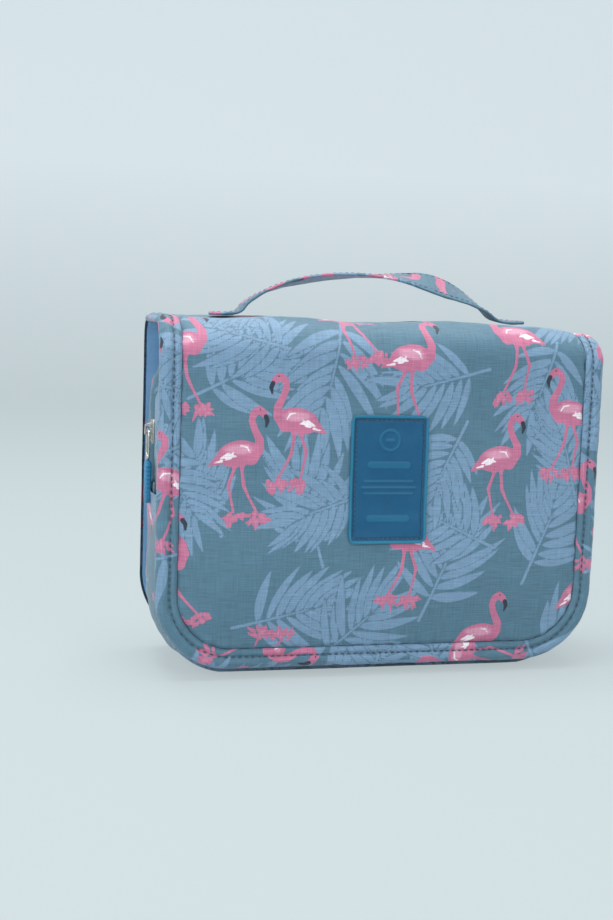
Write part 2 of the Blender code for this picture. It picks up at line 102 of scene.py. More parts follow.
wall_paint, nodes, links, shader = tinted("pale_board", PALE, 0.9)
shader.inputs["Specular IOR Level"].default_value = 0.1
seen = nodes.new("ShaderNodeLightPath")
glow = nodes.new("ShaderNodeEmission")
glow.inputs["Color"].default_value = (0.745, 0.835, 0.875, 1.0)
place = nodes.new("ShaderNodeTexCoord")
high = nodes.new("ShaderNodeSeparateXYZ")
links.new(place.outputs["Object"], high.inputs[0])
for target, shade in ((shader.inputs["Base Color"], PALE), (glow.inputs["Color"], (0.745, 0.835, 0.875))):
    ramp = nodes.new("ShaderNodeValToRGB")
    ramp.color_ramp.elements[0].color = (0.76 * shade[0], 0.77 * shade[1], 0.76 * shade[2], 1.0)
    ramp.color_ramp.elements[1].color = (*shade, 1.0)
    ramp.color_ramp.elements[1].position = 0.5
    links.new(high.outputs[2], ramp.inputs[0])
    links.new(ramp.outputs[0], target)
share = nodes.new("ShaderNodeMath")
share.operation = "MULTIPLY"
share.inputs[1].default_value = 0.72
merge = nodes.new("ShaderNodeMixShader")
either = nodes.new("ShaderNodeMath")
either.operation = "MAXIMUM"
links.new(seen.outputs["Is Camera Ray"], either.inputs[0])
links.new(seen.outputs["Is Glossy Ray"], either.inputs[1])
links.new(either.outputs[0], share.inputs[0])
links.new(share.outputs[0], merge.inputs[0])
links.new(shader.outputs[0], merge.inputs[1])
links.new(glow.outputs[0], merge.inputs[2])
links.new(merge.outputs[0], nodes["Material Output"].inputs["Surface"])
turn = np.linspace(0, math.pi / 2, 24)
depth = np.concatenate([[-3.0, -1.0, 0.0, 1.0], 1.6 + 1.2 * np.sin(turn), [2.8, 2.8]])
height = np.concatenate([[0, 0, 0, 0], 1.2 - 1.2 * np.cos(turn), [2.6, 4.5]]) - 0.0003
side = np.linspace(-4, 4, 9)
sweep = np.stack([np.broadcast_to(side, (len(depth), 9)), np.broadcast_to(depth[:, None], (len(depth), 9)),
                  np.broadcast_to(height[:, None], (len(depth), 9))], axis=-1)
grid("backdrop", sweep, wall_paint)

scene = bpy.context.scene
scene.view_settings.view_transform = "Standard"
world = bpy.data.worlds.new("studio")
scene.world = world
world.use_nodes = True
world.node_tree.nodes["Background"].inputs["Color"].default_value = (0.86, 0.94, 1.0, 1.0)
world.node_tree.nodes["Background"].inputs["Strength"].default_value = 0.62


def soft_lamp(name, place, target, size, watts, colour):
    """Square soft box at a place, facing a target."""
    data = bpy.data.lights.new(name, "AREA")
    data.shape = "SQUARE"
    data.size = size
    data.energy = watts
    data.color = colour
    lamp = bpy.data.objects.new(name, data)
    aim = np.array(target, float) - np.array(place, float)
    lamp.location = place
    lamp.rotation_euler = (math.acos(-aim[2] / np.linalg.norm(aim)), 0,
                           math.atan2(aim[1], aim[0]) - math.pi / 2)
    scene.collection.objects.link(lamp)


soft_lamp("overhead_box", (-0.15, 0.05, 1.5), (0, 0, 0.1), 0.9, 21, (1.0, 0.99, 0.97))
soft_lamp("left_box", (-1.3, -0.9, 0.9), (0, 0, 0.1), 0.9, 12, (0.95, 0.98, 1.0))
soft_lamp("front_box", (0.7, -1.7, 1.0), (0, 0, 0.1), 1.0, 8.5, (1.0, 0.98, 0.96))

# Camera: long lens, a little above the bag and to its left.
AZIMUTH, PITCH, ROLL, REACH = math.radians(-13.9), math.radians(6.9), math.radians(1.95), 0.74
camera = bpy.data.objects.new("camera", bpy.data.cameras.new("camera"))
camera.data.lens = 53
camera.data.clip_end = 20
right = np.array((math.cos(AZIMUTH), math.sin(AZIMUTH), 0))
out = np.array((math.sin(AZIMUTH) * math.cos(PITCH), -math.cos(AZIMUTH) * math.cos(PITCH), math.sin(PITCH)))
up = np.cross(out, right)
aim = np.array((0, -0.005, 0.1)) - 0.0345 * right + 0.0095 * up
camera.location = aim + REACH * out
level = math.cos(ROLL) * right + math.sin(ROLL) * up
upward = math.cos(ROLL) * up - math.sin(ROLL) * right
camera.rotation_euler = Matrix(np.stack([level, upward, out], axis=1).tolist()).to_euler()
scene.collection.objects.link(camera)
scene.camera = camera

# Printed cloth: polyester canvas with palm leaves and wading birds in flat colours. The print is
# worked out on the flat cloth, in millimetres, and each piece is cut from its own place on it.
BASE = (0.073, 0.172, 0.242)
LEAF = (0.170, 0.292, 0.430)
LEAF_EDGE = (0.098, 0.190, 0.280)
PINK = (0.530, 0.150, 0.265)
ROSE = (0.700, 0.330, 0.450)
WHITE = (0.870, 0.760, 0.810)
NAVY = (0.012, 0.020, 0.045)


def stroke(u, v, ax, ay, ar, bx, by, br):
    """Signed depth inside a straight stroke whose radius goes from ar to br: positive inside."""
    dx, dy = bx - ax, by - ay
    t = np.clip(((u - ax) * dx + (v - ay) * dy) / (dx * dx + dy * dy), 0, 1)
    return ar + (br - ar) * t - np.hypot(u - ax - t * dx, v - ay - t * dy)


def chain(u, v, knots):
    """Deepest of the strokes through knots of (x, y, radius)."""
    best = np.full(u.shape, -9.0)
    for (ax, ay, ar), (bx, by, br) in zip(knots[:-1], knots[1:]):
        best = np.maximum(best, stroke(u, v, ax, ay, ar, bx, by, br))
    return best


def bird(u, v, seed):
    """One wading bird facing +u, about 56 mm tall, body at the origin: depths of its pink, rose, white
    and navy."""
    rng = np.random.default_rng(seed)
    a = math.radians(12)
    bu, bv = u * math.cos(a) + v * math.sin(a), -u * math.sin(a) + v * math.cos(a)
    body = (1 - np.hypot(bu / 10.8, bv / 6.6)) * 6.2
    body = np.maximum(body, chain(u, v, [(-5, -0.5, 4.4), (-10, -3.4, 2.4), (-14.5, -6.4, 0.5)]))
    body = np.maximum(body,
                      chain(u, v, [(6.5, -0.5, 5.2), (10.6, 2.2, 2.7), (11.0, 7, 2.1), (8.2, 12.5, 1.75),
                                   (6.7, 17.0, 1.7),
                                         (7.6, 20.8, 1.8), (10.4, 22.4, 2.05), (12.5, 20.9, 1.9),
                                         (13.6, 19.4, 1.5)]))
    legs = chain(u, v,
                 [(-1.2, -5.2, 1.5), (-2.0, -9, 0.75), (-4.4, -16.0, 0.9), (-3.6, -20, 0.65),
                  (-1.6, -30, 0.6)])
    legs = np.maximum(legs,
                      chain(u, v, [(2.2, -5.2, 1.5), (2.4, -9, 0.75), (3.4, -16.5, 0.9), (6.0, -22, 0.65),
                                   (11.0, -31, 0.6)]))
    tuft = np.full(u.shape, -9.0)
    for cx in (-1.4, 10.8):
        for _ in range(18):
            x0, y0 = cx + rng.uniform(-4.8, 4.8), -32.4 + rng.uniform(-2.6, 2.2)
            x1 = cx + (x0 - cx) * 1.35 + rng.uniform(-1.4, 1.4)
            y1 = y0 - rng.uniform(0.6, 4.6) * (1 if abs(x0 - cx) < 3.0 else 0.45)
            tuft = np.maximum(tuft, stroke(u, v, x0, y0, rng.uniform(0.8, 1.35), x1, y1, 0.4))
    rose = np.maximum(stroke(u, v, -7.0, 3.3, 0.3, 5.0, 4.0, 1.5),
                      (1 - np.hypot((u - 0.5) / 8.5, (v - 2.2) / 3.0)) * 3)
    rose = np.maximum(rose, tuft - 0.55)
    white = chain(u, v, [(-9.0, -2.6, 0.3), (-5.0, -0.9, 1.3), (-0.8, -1.4, 0.35)])
    white = np.maximum(white, chain(u, v, [(-6.4, -3.2, 0.35), (-4.0, -2.3, 0.8), (-2.2, 0.8, 0.3)]))
    white = np.maximum(white, stroke(u, v, -12.0, -4.9, 0.25, -8.0, -3.9, 0.65))
    white = np.maximum(white, chain(u, v, [(1.2, 4.1, 0.35), (4.6, 3.4, 0.5), (6.2, 0.6, 0.3)]))
    navy = chain(u, v, [(13.9, 19.0, 1.25), (14.7, 16.8, 1.15), (14.0, 13.6, 0.45)])
    navy = np.maximum(navy, 0.55 - np.hypot(u - 10.9, v - 22.6))
    pink = np.maximum(np.maximum(body, legs), tuft)
    return pink, rose, white, navy


def frond(u, v, x, y, heading, length, pairs, seed, held):
    """Paints one palm leaf over held, the depth inside leaf colour: leaflets laid one over the next,
    each with a thin gap."""
    rng = np.random.default_rng(seed)
    a = math.radians(heading)
    near = np.hypot(u - x - 0.5 * length * math.cos(a), v - y - 0.5 * length * math.sin(a)) < length * 0.95
    pu, pv, val = u[near], v[near], held[near]
    bow = rng.uniform(-0.25, 0.25)
    for k in range(pairs):
        t = (k + 0.5) / pairs
        bend = a + bow * t
        rx, ry = x + length * 0.82 * t * math.cos(bend), y + length * 0.82 * t * math.sin(bend)
        for hand in (-1, 1):
            spread = math.radians(74 - 50 * t + rng.uniform(-6, 6))
            la = bend + hand * spread
            ll = length * (0.36 + 0.34 * math.sin(math.pi * (0.15 + 0.75 * t))) * rng.uniform(0.88, 1.1)
            lw = length * 0.052 * rng.uniform(0.85, 1.15)
            du, dv = pu - rx, pv - ry
            p = (du * math.cos(la) + dv * math.sin(la)) / ll
            q = -du * math.sin(la) + dv * math.cos(la) + hand * 0.20 * ll * p * p
            body = lw * np.sin(math.pi * np.clip(p, 0, 1) ** 0.8) ** 0.8 - np.abs(q)
            body = np.where((p < 0) | (p > 1), -3.0, body)
            val = np.where(body > -0.55, body, val)
    rib = stroke(pu, pv, x - length * 0.22 * math.cos(a), y - length * 0.22 * math.sin(a), 0.9,
                 x + length * 0.6 * math.cos(a + bow * 0.6), y + length * 0.6 * math.sin(a + bow * 0.6), 0.5)
    val = np.where(rib > -0.45, np.maximum(rib, -0.4), val)
    held[near] = val
    return held


# Places of the birds and leaves on one repeat of the cloth: (x, y, faces right, turn) and (x, y,
# heading, length).
REPEAT_U, REPEAT_V = 262.0, 230.0
BIRDS = [(-80, 118, 1, 0), (-49, 135, -1, 0), (9, 168, 1, -6), (60, 116, 1, 0), (102, 141, -1, 0),
         (70, 182, -1, 4), (54, 20, 1, 0),
         (-110, 173, 1, 0), (-24, 198, 1, 10), (12, 74, -1, 0), (-116, 62, 1, 14), (-70, 222, -1,
             170), (112, 42, 1, 8), (-20, -6, -1, 12)]
LEAVES = [(-96, 150, 25, 44), (-58, 172, 165, 40), (-26, 184, 262, 50), (-92, 84, 118, 38),
          (-36, 70, 100, 44),
          (-18, 96, 195, 38), (-70, 30, 12, 44), (-30, 12, 40, 44), (24, 40, 70, 46), (50, 74, 150,
              42), (82, 58, 60, 44),
          (44, 160, 200, 40), (92, 176, 255, 42), (106, 100, 100, 38), (38, 128, 240, 36), (92, 14, 30, 42),
          (-118, 114, 300, 36), (-106, 200, 10, 42), (-62, 208, 200, 34), (42, 208, 160, 40), (10, 222,
              215, 38), (120, 208, 200, 38)]


def print_fields(u, v):
    """Depths of the printed colours at cloth places in metres, the print repeating each way."""
    mu, mv = u * 1000.0, v * 1000.0
    cells_u = np.floor((mu + REPEAT_U / 2) / REPEAT_U)
    cells_v = np.floor(mv / REPEAT_V)
    mu = mu - cells_u * REPEAT_U
    mv = mv - cells_v * REPEAT_V
    leaf = np.full(mu.shape, -3.0)
    colours = [np.full(mu.shape, -9.0) for _ in range(4)]
    shifts = [(du, dv) for du in (-REPEAT_U, 0, REPEAT_U) for dv in (-REPEAT_V, 0, REPEAT_V)]
    low_u, high_u, low_v, high_v = mu.min() - 60, mu.max() + 60, mv.min() - 60, mv.max() + 60
    for n, (x, y, heading, length) in enumerate(LEAVES):
        for du, dv in shifts:
            if low_u < x + du < high_u and low_v < y + dv < high_v:
                leaf = frond(mu, mv, x + du, y + dv, heading, length * 1.12, 8, n, leaf)
    for n, (x, y, facing, turn_by) in enumerate(BIRDS):
        for du, dv in shifts:
            near = np.hypot(mu - x - du, mv - y - dv) < 48
            if not near.any():
                continue
            a = math.radians(turn_by)
            pu, pv = mu[near] - x - du, mv[near] - y - dv
            pu, pv = facing * (pu * math.cos(a) + pv * math.sin(a)), -pu * math.sin(a) + pv * math.cos(a)
            for held, depth_in in zip(colours, bird(pu, pv, 40 + n)):
                held[near] = np.maximum(held[near], depth_in)
    return {"leaf": leaf, "pink": colours[0], "rose": colours[1], "white": colours[2], "navy": colours[3]}


def drift(u, v, seed, wave):
    """Smooth uneven rise and fall in -1 to 1: a sum of seven slanting sines about one wavelength long,
    in metres."""
    rng = np.random.default_rng(seed)
    total = np.zeros(np.broadcast(u, v).shape)
    for _ in range(7):
        a, k = rng.uniform(0, math.pi), 2 * math.pi / (wave * rng.uniform(0.6, 1.7))
        total = total + np.sin(k * (u * math.cos(a) + v * math.sin(a)) + rng.uniform(0, 6.3))
    return total / 3.6


def maths(nodes, links, how, first, second=None, third=None):
    """Math node on sockets or numbers; returns its output socket."""
    node = nodes.new("ShaderNodeMath")
    node.operation = how
    for spot, value in zip(node.inputs, (first, second, third)):
        if value is None:
            continue
        if isinstance(value, (int, float)):
            spot.default_value = value
        else:
            links.new(value, spot)
    return node.outputs[0]


def blended(nodes, links, factor, first, second, how="MIX"):
    """Colour mix of sockets or colours by a factor; returns the result socket."""
    node = nodes.new("ShaderNodeMix")
    node.data_type = "RGBA"
    node.blend_type = how
    for spot, value in ((node.inputs["Factor"], factor), (node.inputs[6], first), (node.inputs[7], second)):
        if isinstance(value, (int, float)):
            spot.default_value = value
        elif isinstance(value, tuple):
            spot.default_value = (*value, 1.0)
        else:
            links.new(value, spot)
    return node.outputs[2]


def weave(nodes, links, across=0.00042, along=0.00036, slub=1.0):
    """Canvas weave read from the cloth coordinates: rounded threads over and under, with uneven thicker
    threads.
    Returns the height, and a slow shade that follows the threads, both near 0 to 1."""
    place = nodes.new("ShaderNodeUVMap")
    place.uv_map = "cloth"
    split = nodes.new("ShaderNodeSeparateXYZ")
    links.new(place.outputs[0], split.inputs[0])
    warp = maths(nodes, links, "SINE",
                 maths(nodes, links, "MULTIPLY", split.outputs[0], 2 * math.pi / across))
    weft = maths(nodes, links, "SINE", maths(nodes, links, "MULTIPLY", split.outputs[1], 2 * math.pi / along))
    threads = maths(nodes, links, "MULTIPLY_ADD", maths(nodes, links, "MULTIPLY", warp, weft), 0.28, 0.5)
    threads = maths(nodes, links, "MULTIPLY_ADD", weft, 0.16, threads)
    shades = []
    for stretch in ((90.0, 1900.0, 1.0), (1700.0, 70.0, 1.0)):
        spread = nodes.new("ShaderNodeMapping")
        spread.inputs["Scale"].default_value = stretch
        links.new(place.outputs[0], spread.inputs["Vector"])
        cloud = nodes.new("ShaderNodeTexNoise")
        cloud.inputs["Scale"].default_value = 1.0
        cloud.inputs["Detail"].default_value = 2.0
        links.new(spread.outputs[0], cloud.inputs["Vector"])
        shades.append(cloud.outputs["Fac"])
    shade = maths(nodes, links, "ADD", maths(nodes, links, "MULTIPLY", shades[0], 0.6),
                  maths(nodes, links, "MULTIPLY", shades[1], 0.4))
    height = maths(nodes, links, "ADD", threads, maths(nodes, links, "MULTIPLY", shade, slub))
    return height, shade


def raised(nodes, links, shader, height, distance, strength=1.0, below=None):
    """Bump of a height socket into the shader's normal."""
    bump = nodes.new("ShaderNodeBump")
    bump.inputs["Distance"].default_value = distance
    bump.inputs["Strength"].default_value = strength
    links.new(height, bump.inputs["Height"])
    if below is not None:
        links.new(below, bump.inputs["Normal"])
    links.new(bump.outputs[0], shader.inputs["Normal"])
    return bump.outputs[0]


printed, nodes, links, shader = tinted("printed_canvas", BASE, 0.46)
shader.inputs["Sheen Weight"].default_value = 0.22
shader.inputs["Sheen Roughness"].default_value = 0.4
shader.inputs["Specular IOR Level"].default_value = 0.55


def inked(key, soft=0.16, shift=0.0):
    """0 outside and 1 inside one printed colour, with an edge as soft as ink on canvas."""
    node = nodes.new("ShaderNodeAttribute")
    node.attribute_name = key
    ramp = nodes.new("ShaderNodeMapRange")
    ramp.interpolation_type = "SMOOTHSTEP"
    ramp.inputs["From Min"].default_value = shift - soft
    ramp.inputs["From Max"].default_value = shift + soft
    links.new(node.outputs["Fac"], ramp.inputs["Value"])
    return ramp.outputs[0]


height, shade = weave(nodes, links)
colour = blended(nodes, links, inked("leaf", 0.5, -0.35), BASE, LEAF_EDGE)
colour = blended(nodes, links, inked("leaf", 0.22, 0.1), colour, LEAF)
colour = blended(nodes, links, inked("pink"), colour, PINK)
colour = blended(nodes, links, maths(nodes, links, "MULTIPLY", inked("rose", 0.9, 0.6), 0.8), colour, ROSE)
colour = blended(nodes, links, inked("white"), colour, WHITE)
colour = blended(nodes, links, inked("navy"), colour, NAVY)
worn = nodes.new("ShaderNodeMapRange")
worn.inputs["From Min"].default_value = 0.30
worn.inputs["From Max"].default_value = 0.72
worn.inputs["To Min"].default_value = 0.72
worn.inputs["To Max"].default_value = 1.26
links.new(shade, worn.inputs["Value"])
links.new(blended(nodes, links, 1.0, colour, worn.outputs[0], "MULTIPLY"), shader.inputs["Base Color"])
links.new(maths(nodes, links, "MULTIPLY_ADD", shade, -0.22, 0.55), shader.inputs["Roughness"])
raised(nodes, links, shader, height, 0.00016, 0.8)

# Cover: one long strip of the canvas over a thin foam, up the back, over the top and down the
# front as the flap. The sewn panel in the middle is a little puffed and pulls in at its seams.
FLAP_Y, TOP_Z, BACK_Y, FRONT_R, BACK_R = -0.038, 0.186, 0.036, 0.018, 0.012
ARC_FRONT = FRONT_R * math.pi / 2
ARC_BACK = BACK_R * math.pi / 2
FLAT_TOP = (BACK_Y - BACK_R) - (FLAP_Y + FRONT_R)
S_FOLD = TOP_Z - FRONT_R
S_TOP = S_FOLD + ARC_FRONT
S_REAR = S_TOP + FLAT_TOP
S_BACK = S_REAR + ARC_BACK


def cover(s):
    """Place and outward normal on the cover at cloth length s, counted up from the floor in front:
    up the flap, round the front fold, over the top, round the back fold and down the back."""
    s = np.asarray(s, float)
    a = np.clip((s - S_FOLD) / FRONT_R, 0, math.pi / 2)
    b = np.clip((s - S_REAR) / BACK_R, 0, math.pi / 2)
    y = FLAP_Y + FRONT_R * (1 - np.cos(a)) + np.clip(s - S_TOP, 0, FLAT_TOP) + BACK_R * np.sin(b)
    z = np.minimum(s, S_FOLD) + FRONT_R * np.sin(a) - BACK_R * (1 - np.cos(b)) - np.maximum(s - S_BACK, 0)
    ny = -np.cos(a) + np.sin(b)
    nz = np.where(b > 0, np.cos(b), np.sin(a))
    return y, z, ny, nz


def on_cover(x, s, lift):
    """Points at cloth places (x, s), raised off the cover by lift. The right end of the top droops."""
    y, z, ny, nz = cover(s)
    slack = np.clip((x - 0.070) / 0.050, 0, 1) ** 2 * np.clip((z - 0.120) / 0.066, 0, 1) ** 2
    return np.stack([x, y + ny * lift, z + nz * lift - 0.0042 * slack], axis=-1)


def top_sag(x, s):
    """How far the cover sags or rises: soft waves along the top and the front fold, in metres."""
    near_top = np.exp(-((s - 0.212) / 0.034) ** 2)
    return near_top * (0.0013 * drift(x, s * 0.3, 3, 0.085) - 0.0012 * np.cos(x / 0.110 * math.pi / 2) ** 2)


PANEL_X, PANEL_LOW, PANEL_R, STRIP_TOP = 0.109, 0.016, 0.029, 0.2424


def flap_lift(x, s, edge):
    """Puff of the sewn panel: full in the middle, drawn in at the seam, with small puckers beside it."""
    pucker = 0.00035 * np.sin((x + 0.6 * s) * 2 * math.pi / 0.0085 + 2.0 * drift(x, s, 5, 0.05))
    puff = (0.0026 * (1 - np.exp(-edge / 0.020))
            * np.where(s < S_FOLD, 1.0, np.exp(-((s - S_FOLD) / 0.03) ** 2)))
    puff = (puff + 0.0020 * np.exp(-((s - 0.055) / 0.035) ** 2) * (1 - np.exp(-edge / 0.016)) - 0.0010
            * np.exp(-((s - 0.140) / 0.022) ** 2) * (1 - np.exp(-edge / 0.010)))
    waves = 0.0009 * drift(x, s, 7, 0.065) * (1 - np.exp(-edge / 0.012)) + 0.00022 * drift(x, s, 8, 0.016)
    return (puff + waves + pucker * np.exp(-edge / 0.006) - 0.0011 * np.exp(-(edge / 0.0011) ** 2)
            + top_sag(x, s))


count_x, count_s = ((292, 300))
across, s = np.meshgrid(np.linspace(-1, 1, count_x), np.linspace(PANEL_LOW, STRIP_TOP, count_s))
drop = np.clip(PANEL_LOW + PANEL_R - s, 0, PANEL_R)
half = PANEL_X - PANEL_R + np.sqrt(np.maximum(PANEL_R ** 2 - drop ** 2, 0))
x = across * half
low_edge = np.where(np.abs(x) > PANEL_X - PANEL_R,
                    PANEL_R - np.hypot(np.abs(x) - (PANEL_X - PANEL_R), drop), s - PANEL_LOW)
edge = np.minimum(np.minimum(np.where(drop > 0, low_edge, 1.0), PANEL_X - np.abs(x)), s - PANEL_LOW)
edge = np.maximum(edge, 0)
front_panel = grid("flap_cover_panel", on_cover(x, s, flap_lift(x, s, edge)), printed,
                   uv=np.stack([x, s], axis=-1), fields=print_fields(x, s), flip=False)
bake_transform(front_panel)
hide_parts("flap_panel", "flap_foam", "bridge_cover")

# Border of the flap and bridge: a folded strip of the same canvas sewn round the panel and turned
# to the inside. It is topstitched once in navy thread and rolls back at the edge.
EDGE_PROFILE = np.array([(0.0000, -0.0010), (0.0005, -0.0002), (0.0018, 0.0004), (0.0032, 0.0002),
                         (0.0041, -0.0005), (0.0050, 0.0002),
                         (0.0066, 0.0007), (0.0084, 0.0004), (0.0099, -0.0007), (0.0109, -0.0024),
                         (0.0112, -0.0042),
                         (0.0108, -0.0060), (0.0097, -0.0073), (0.0080, -0.0078), (0.0060, -0.0078)])


def smooth_line(knots, count):
    """Evenly spaced points on the rounded line through knots (Catmull-Rom pieces)."""
    p = np.vstack([2 * knots[0] - knots[1], knots, 2 * knots[-1] - knots[-2]])
    t = np.linspace(0, 1, 12, endpoint=False)[:, None]
    runs = []
    for a, b, c, d in zip(p[:-3], p[1:-2], p[2:-1], p[3:]):
        runs.append(0.5
                    * (2 * b + (c - a) * t + (2 * a - 5 * b + 4 * c - d) * t ** 2 + (3 * b - a - 3 * c + d)
                       * t ** 3))
    line = np.vstack(runs + [knots[-1:]])
    run = np.concatenate([[0], np.cumsum(np.linalg.norm(np.diff(line, axis=0), axis=1))])
    at = np.linspace(0, run[-1], count)
    return np.stack([np.interp(at, run, line[:, k]) for k in range(line.shape[1])], axis=1)


def frame_path(half, low, radius, top, step):
    """Down one side, round the lower corners and up the other side on the flat cloth: x, s, outward
    normal, distance."""
    turn = np.linspace(0, math.pi / 2, 40)
    x = np.concatenate([[-half], -half + radius - radius * np.cos(turn),
                        half - radius + radius * np.sin(turn), [half]])
    y = np.concatenate([[top], low + radius - radius * np.sin(turn), low + radius - radius * np.cos(turn),
                        [top]])
    line = np.stack([x, y], axis=1)
    run = np.concatenate([[0], np.cumsum(np.linalg.norm(np.diff(line, axis=0), axis=1))])
    at = np.linspace(0, run[-1], int(run[-1] / step))
    x, y = np.interp(at, run, x), np.interp(at, run, y)
    tx, ty = np.gradient(x, at), np.gradient(y, at)
    size = np.hypot(tx, ty)
    return x, y, ty / size, -tx / size, at


px, ps, nx, ns, along = frame_path(PANEL_X, PANEL_LOW, PANEL_R, STRIP_TOP, 0.0008)
profile = smooth_line(EDGE_PROFILE, 40)
d, h = profile[:, 0][None, :], profile[:, 1][None, :]
thin = np.clip((ps - S_FOLD) / ARC_FRONT, 0, 1)[:, None]
h = h * np.where(h < -0.001, 1 - 0.45 * thin, 1.0)
sx, ss = px[:, None] + nx[:, None] * d, ps[:, None] + ns[:, None] * d
flow = np.broadcast_to(along[:, None], sx.shape)
wide = np.broadcast_to(d, sx.shape)
rumple = 0.00055 * drift(flow, wide * 2.0, 11, 0.030) + 0.00028 * drift(flow, wide, 12, 0.009)
pinch = 0.00022 * np.sin(flow * 2 * math.pi / 0.0064) * np.exp(-((wide - 0.0041) / 0.0016) ** 2)
lift = (h + (rumple + pinch) * np.sin(np.clip(np.linspace(0, 1, 40), 0, 1) * math.pi)[None, :]
        + top_sag(sx, np.clip(ss, 0, STRIP_TOP)))
strip_points = on_cover(sx, np.maximum(ss, 0.0052), lift)
cloth_u, cloth_v = along[:, None] + 0 * sx + 0.313, np.linspace(0, 0.021, 40)[None, :] + 0 * sx + 0.165
flap_border = grid("flap_border_strip", strip_points, printed,
                   uv=np.stack([cloth_u, cloth_v], axis=-1), fields=print_fields(cloth_v - 0.240, cloth_u))
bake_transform(flap_border)
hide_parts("flap_border")

thread, nodes, links, shader = tinted("navy_thread", (0.022, 0.060, 0.105), 0.55)
grain = nodes.new("ShaderNodeTexCoord")
twist = nodes.new("ShaderNodeTexWave")
twist.inputs["Scale"].default_value = 900.0
twist.inputs["Distortion"].default_value = 2.0
links.new(grain.outputs["Object"], twist.inputs["Vector"])
raised(nodes, links, shader, twist.outputs["Fac"], 0.00008)
shader.inputs["Sheen Weight"].default_value = 0.3


def stitch_row(name, spots, ahead, out_way, mat, long=0.0023, thick=0.00038):
    """One row of thread: at each spot a small lens-shaped stitch lying along ahead and standing out of
    the cloth."""
    u = np.linspace(0, 1, 6)
    swell = np.sin(math.pi * (0.08 + 0.84 * u))
    a = np.linspace(0, 2 * math.pi, 6, endpoint=False)
    out_way = out_way / np.linalg.norm(out_way, axis=1)[:, None]
    ahead = ahead / np.linalg.norm(ahead, axis=1)[:, None]
    side_way = np.cross(ahead, out_way)
    body = (spots[:, None, None, :] + ahead[:, None, None, :] * ((u - 0.5) * long)[None, :, None, None]
            + (out_way[:, None, None, :] * (np.sin(a)[None, None, :, None] * 0.8)
               + side_way[:, None, None, :] * np.cos(a)[None, None, :, None])
            * (swell * thick)[None, :, None, None])
    count = len(spots)
    verts = body.reshape(-1, 3)
    ring = np.arange(6)
    one = []
    for k in range(5):
        for j in range(6):
            one.append((k * 6 + j, k * 6 + (j + 1) % 6, k * 6 + 6 + (j + 1) % 6, k * 6 + 6 + j))
    one = np.array(one)[:, ::-1]
    faces = (one[None] + (np.arange(count) * 36)[:, None, None]).reshape(-1, 4).tolist()
    for n in range(count):
        faces.append([n * 36 + int(j) for j in ring])
        faces.append([n * 36 + 30 + int(j) for j in ring[::-1]])
    mesh = bpy.data.meshes.new(name)
    mesh.from_pydata(verts.tolist(), [], faces)
    mesh.shade_smooth()
    mesh.materials.append(mat)
    obj = bpy.data.objects.new(name, mesh)
    scene.collection.objects.link(obj)
    return obj


def row_on_cover(name, x, s, lift, mat, **sizes):
    spots = on_cover(x, s, lift)
    near = on_cover(x + np.gradient(x) * 0.1, s + np.gradient(s) * 0.1, lift)
    y, z, ny, nz = cover(s)
    return stitch_row(name, spots, near - spots, np.stack([0 * ny, ny, nz], axis=1), mat, **sizes)


px, ps, nx, ns, along = frame_path(PANEL_X, PANEL_LOW, PANEL_R, STRIP_TOP, 0.0034)
tx, ts = px + nx * 0.0041, ps + ns * 0.0041
row = row_on_cover("flap_topstitch", tx, ts, 0.0000 + 0.0002 + top_sag(tx, np.clip(ts, 0, STRIP_TOP)), thread)
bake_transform(row)
px, ps, nx, ns, along = frame_path(PANEL_X, PANEL_LOW, PANEL_R, STRIP_TOP, 0.0012)
seam_line = row_on_cover("flap_panel_seam", px, ps, -0.0010 + top_sag(px, ps), thread, long=0.0016,
                         thick=0.00042)
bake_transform(seam_line)

# Back: the same canvas from the base to the middle of the top, where it meets the front strip in
# a plain seam. It lies flat, with a folded hem round its edge.
BACK_LOW, BACK_HALF, BACK_CORNER = 0.0035, 0.1195, 0.0395
count_x, count_s = ((300, 270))
S_END = S_BACK + (TOP_Z - BACK_R) - BACK_LOW
across, s = np.meshgrid(np.sin(np.linspace(-1, 1, count_x) * math.pi / 2) * 0.35
                        + np.linspace(-1, 1, count_x) * 0.65,
                        np.linspace(STRIP_TOP - 0.0004, S_END, count_s))
drop = np.clip(s - (S_END - BACK_CORNER), 0, BACK_CORNER)
half = BACK_HALF - BACK_CORNER + np.sqrt(np.maximum(BACK_CORNER ** 2 - drop ** 2, 0))
x = across * half
rim = np.where((drop > 0) & (np.abs(x) > BACK_HALF - BACK_CORNER),
               BACK_CORNER - np.hypot(np.abs(x) - (BACK_HALF - BACK_CORNER), drop),
               np.minimum(BACK_HALF - np.abs(x), S_END - s))
rim = np.maximum(rim, 0)
lift = (0.0008 * drift(x, s, 21, 0.07) * (1 - np.exp(-rim / 0.02)) + 0.0003 * drift(x, s, 22, 0.018)
        + top_sag(x, s))
lift = (lift - 0.0019 * np.exp(-rim / 0.0009) + 0.0006 * np.exp(-((rim - 0.003) / 0.002) ** 2) - 0.0005
        * np.exp(-((rim - 0.0065) / 0.0007) ** 2))
lift = np.where(s > S_BACK, np.minimum(lift, 0.0002), lift)
back = grid("back_cover_cloth", on_cover(x, s, lift), printed, uv=np.stack([x, s], axis=-1),
            fields=print_fields(-x + 0.045, s + 0.061))
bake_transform(back)
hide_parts("back_cover")
bx, bs, nx, ns, along = frame_path(BACK_HALF - 0.0065, 0.0, BACK_CORNER - 0.0065, 0.19, 0.0034)
flip_s = S_END - 0.0065 - bs
keep = flip_s > STRIP_TOP
back_row = row_on_cover("back_topstitch", bx[keep], flip_s[keep], 0.0 * bx[keep], thread)
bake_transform(back_row)

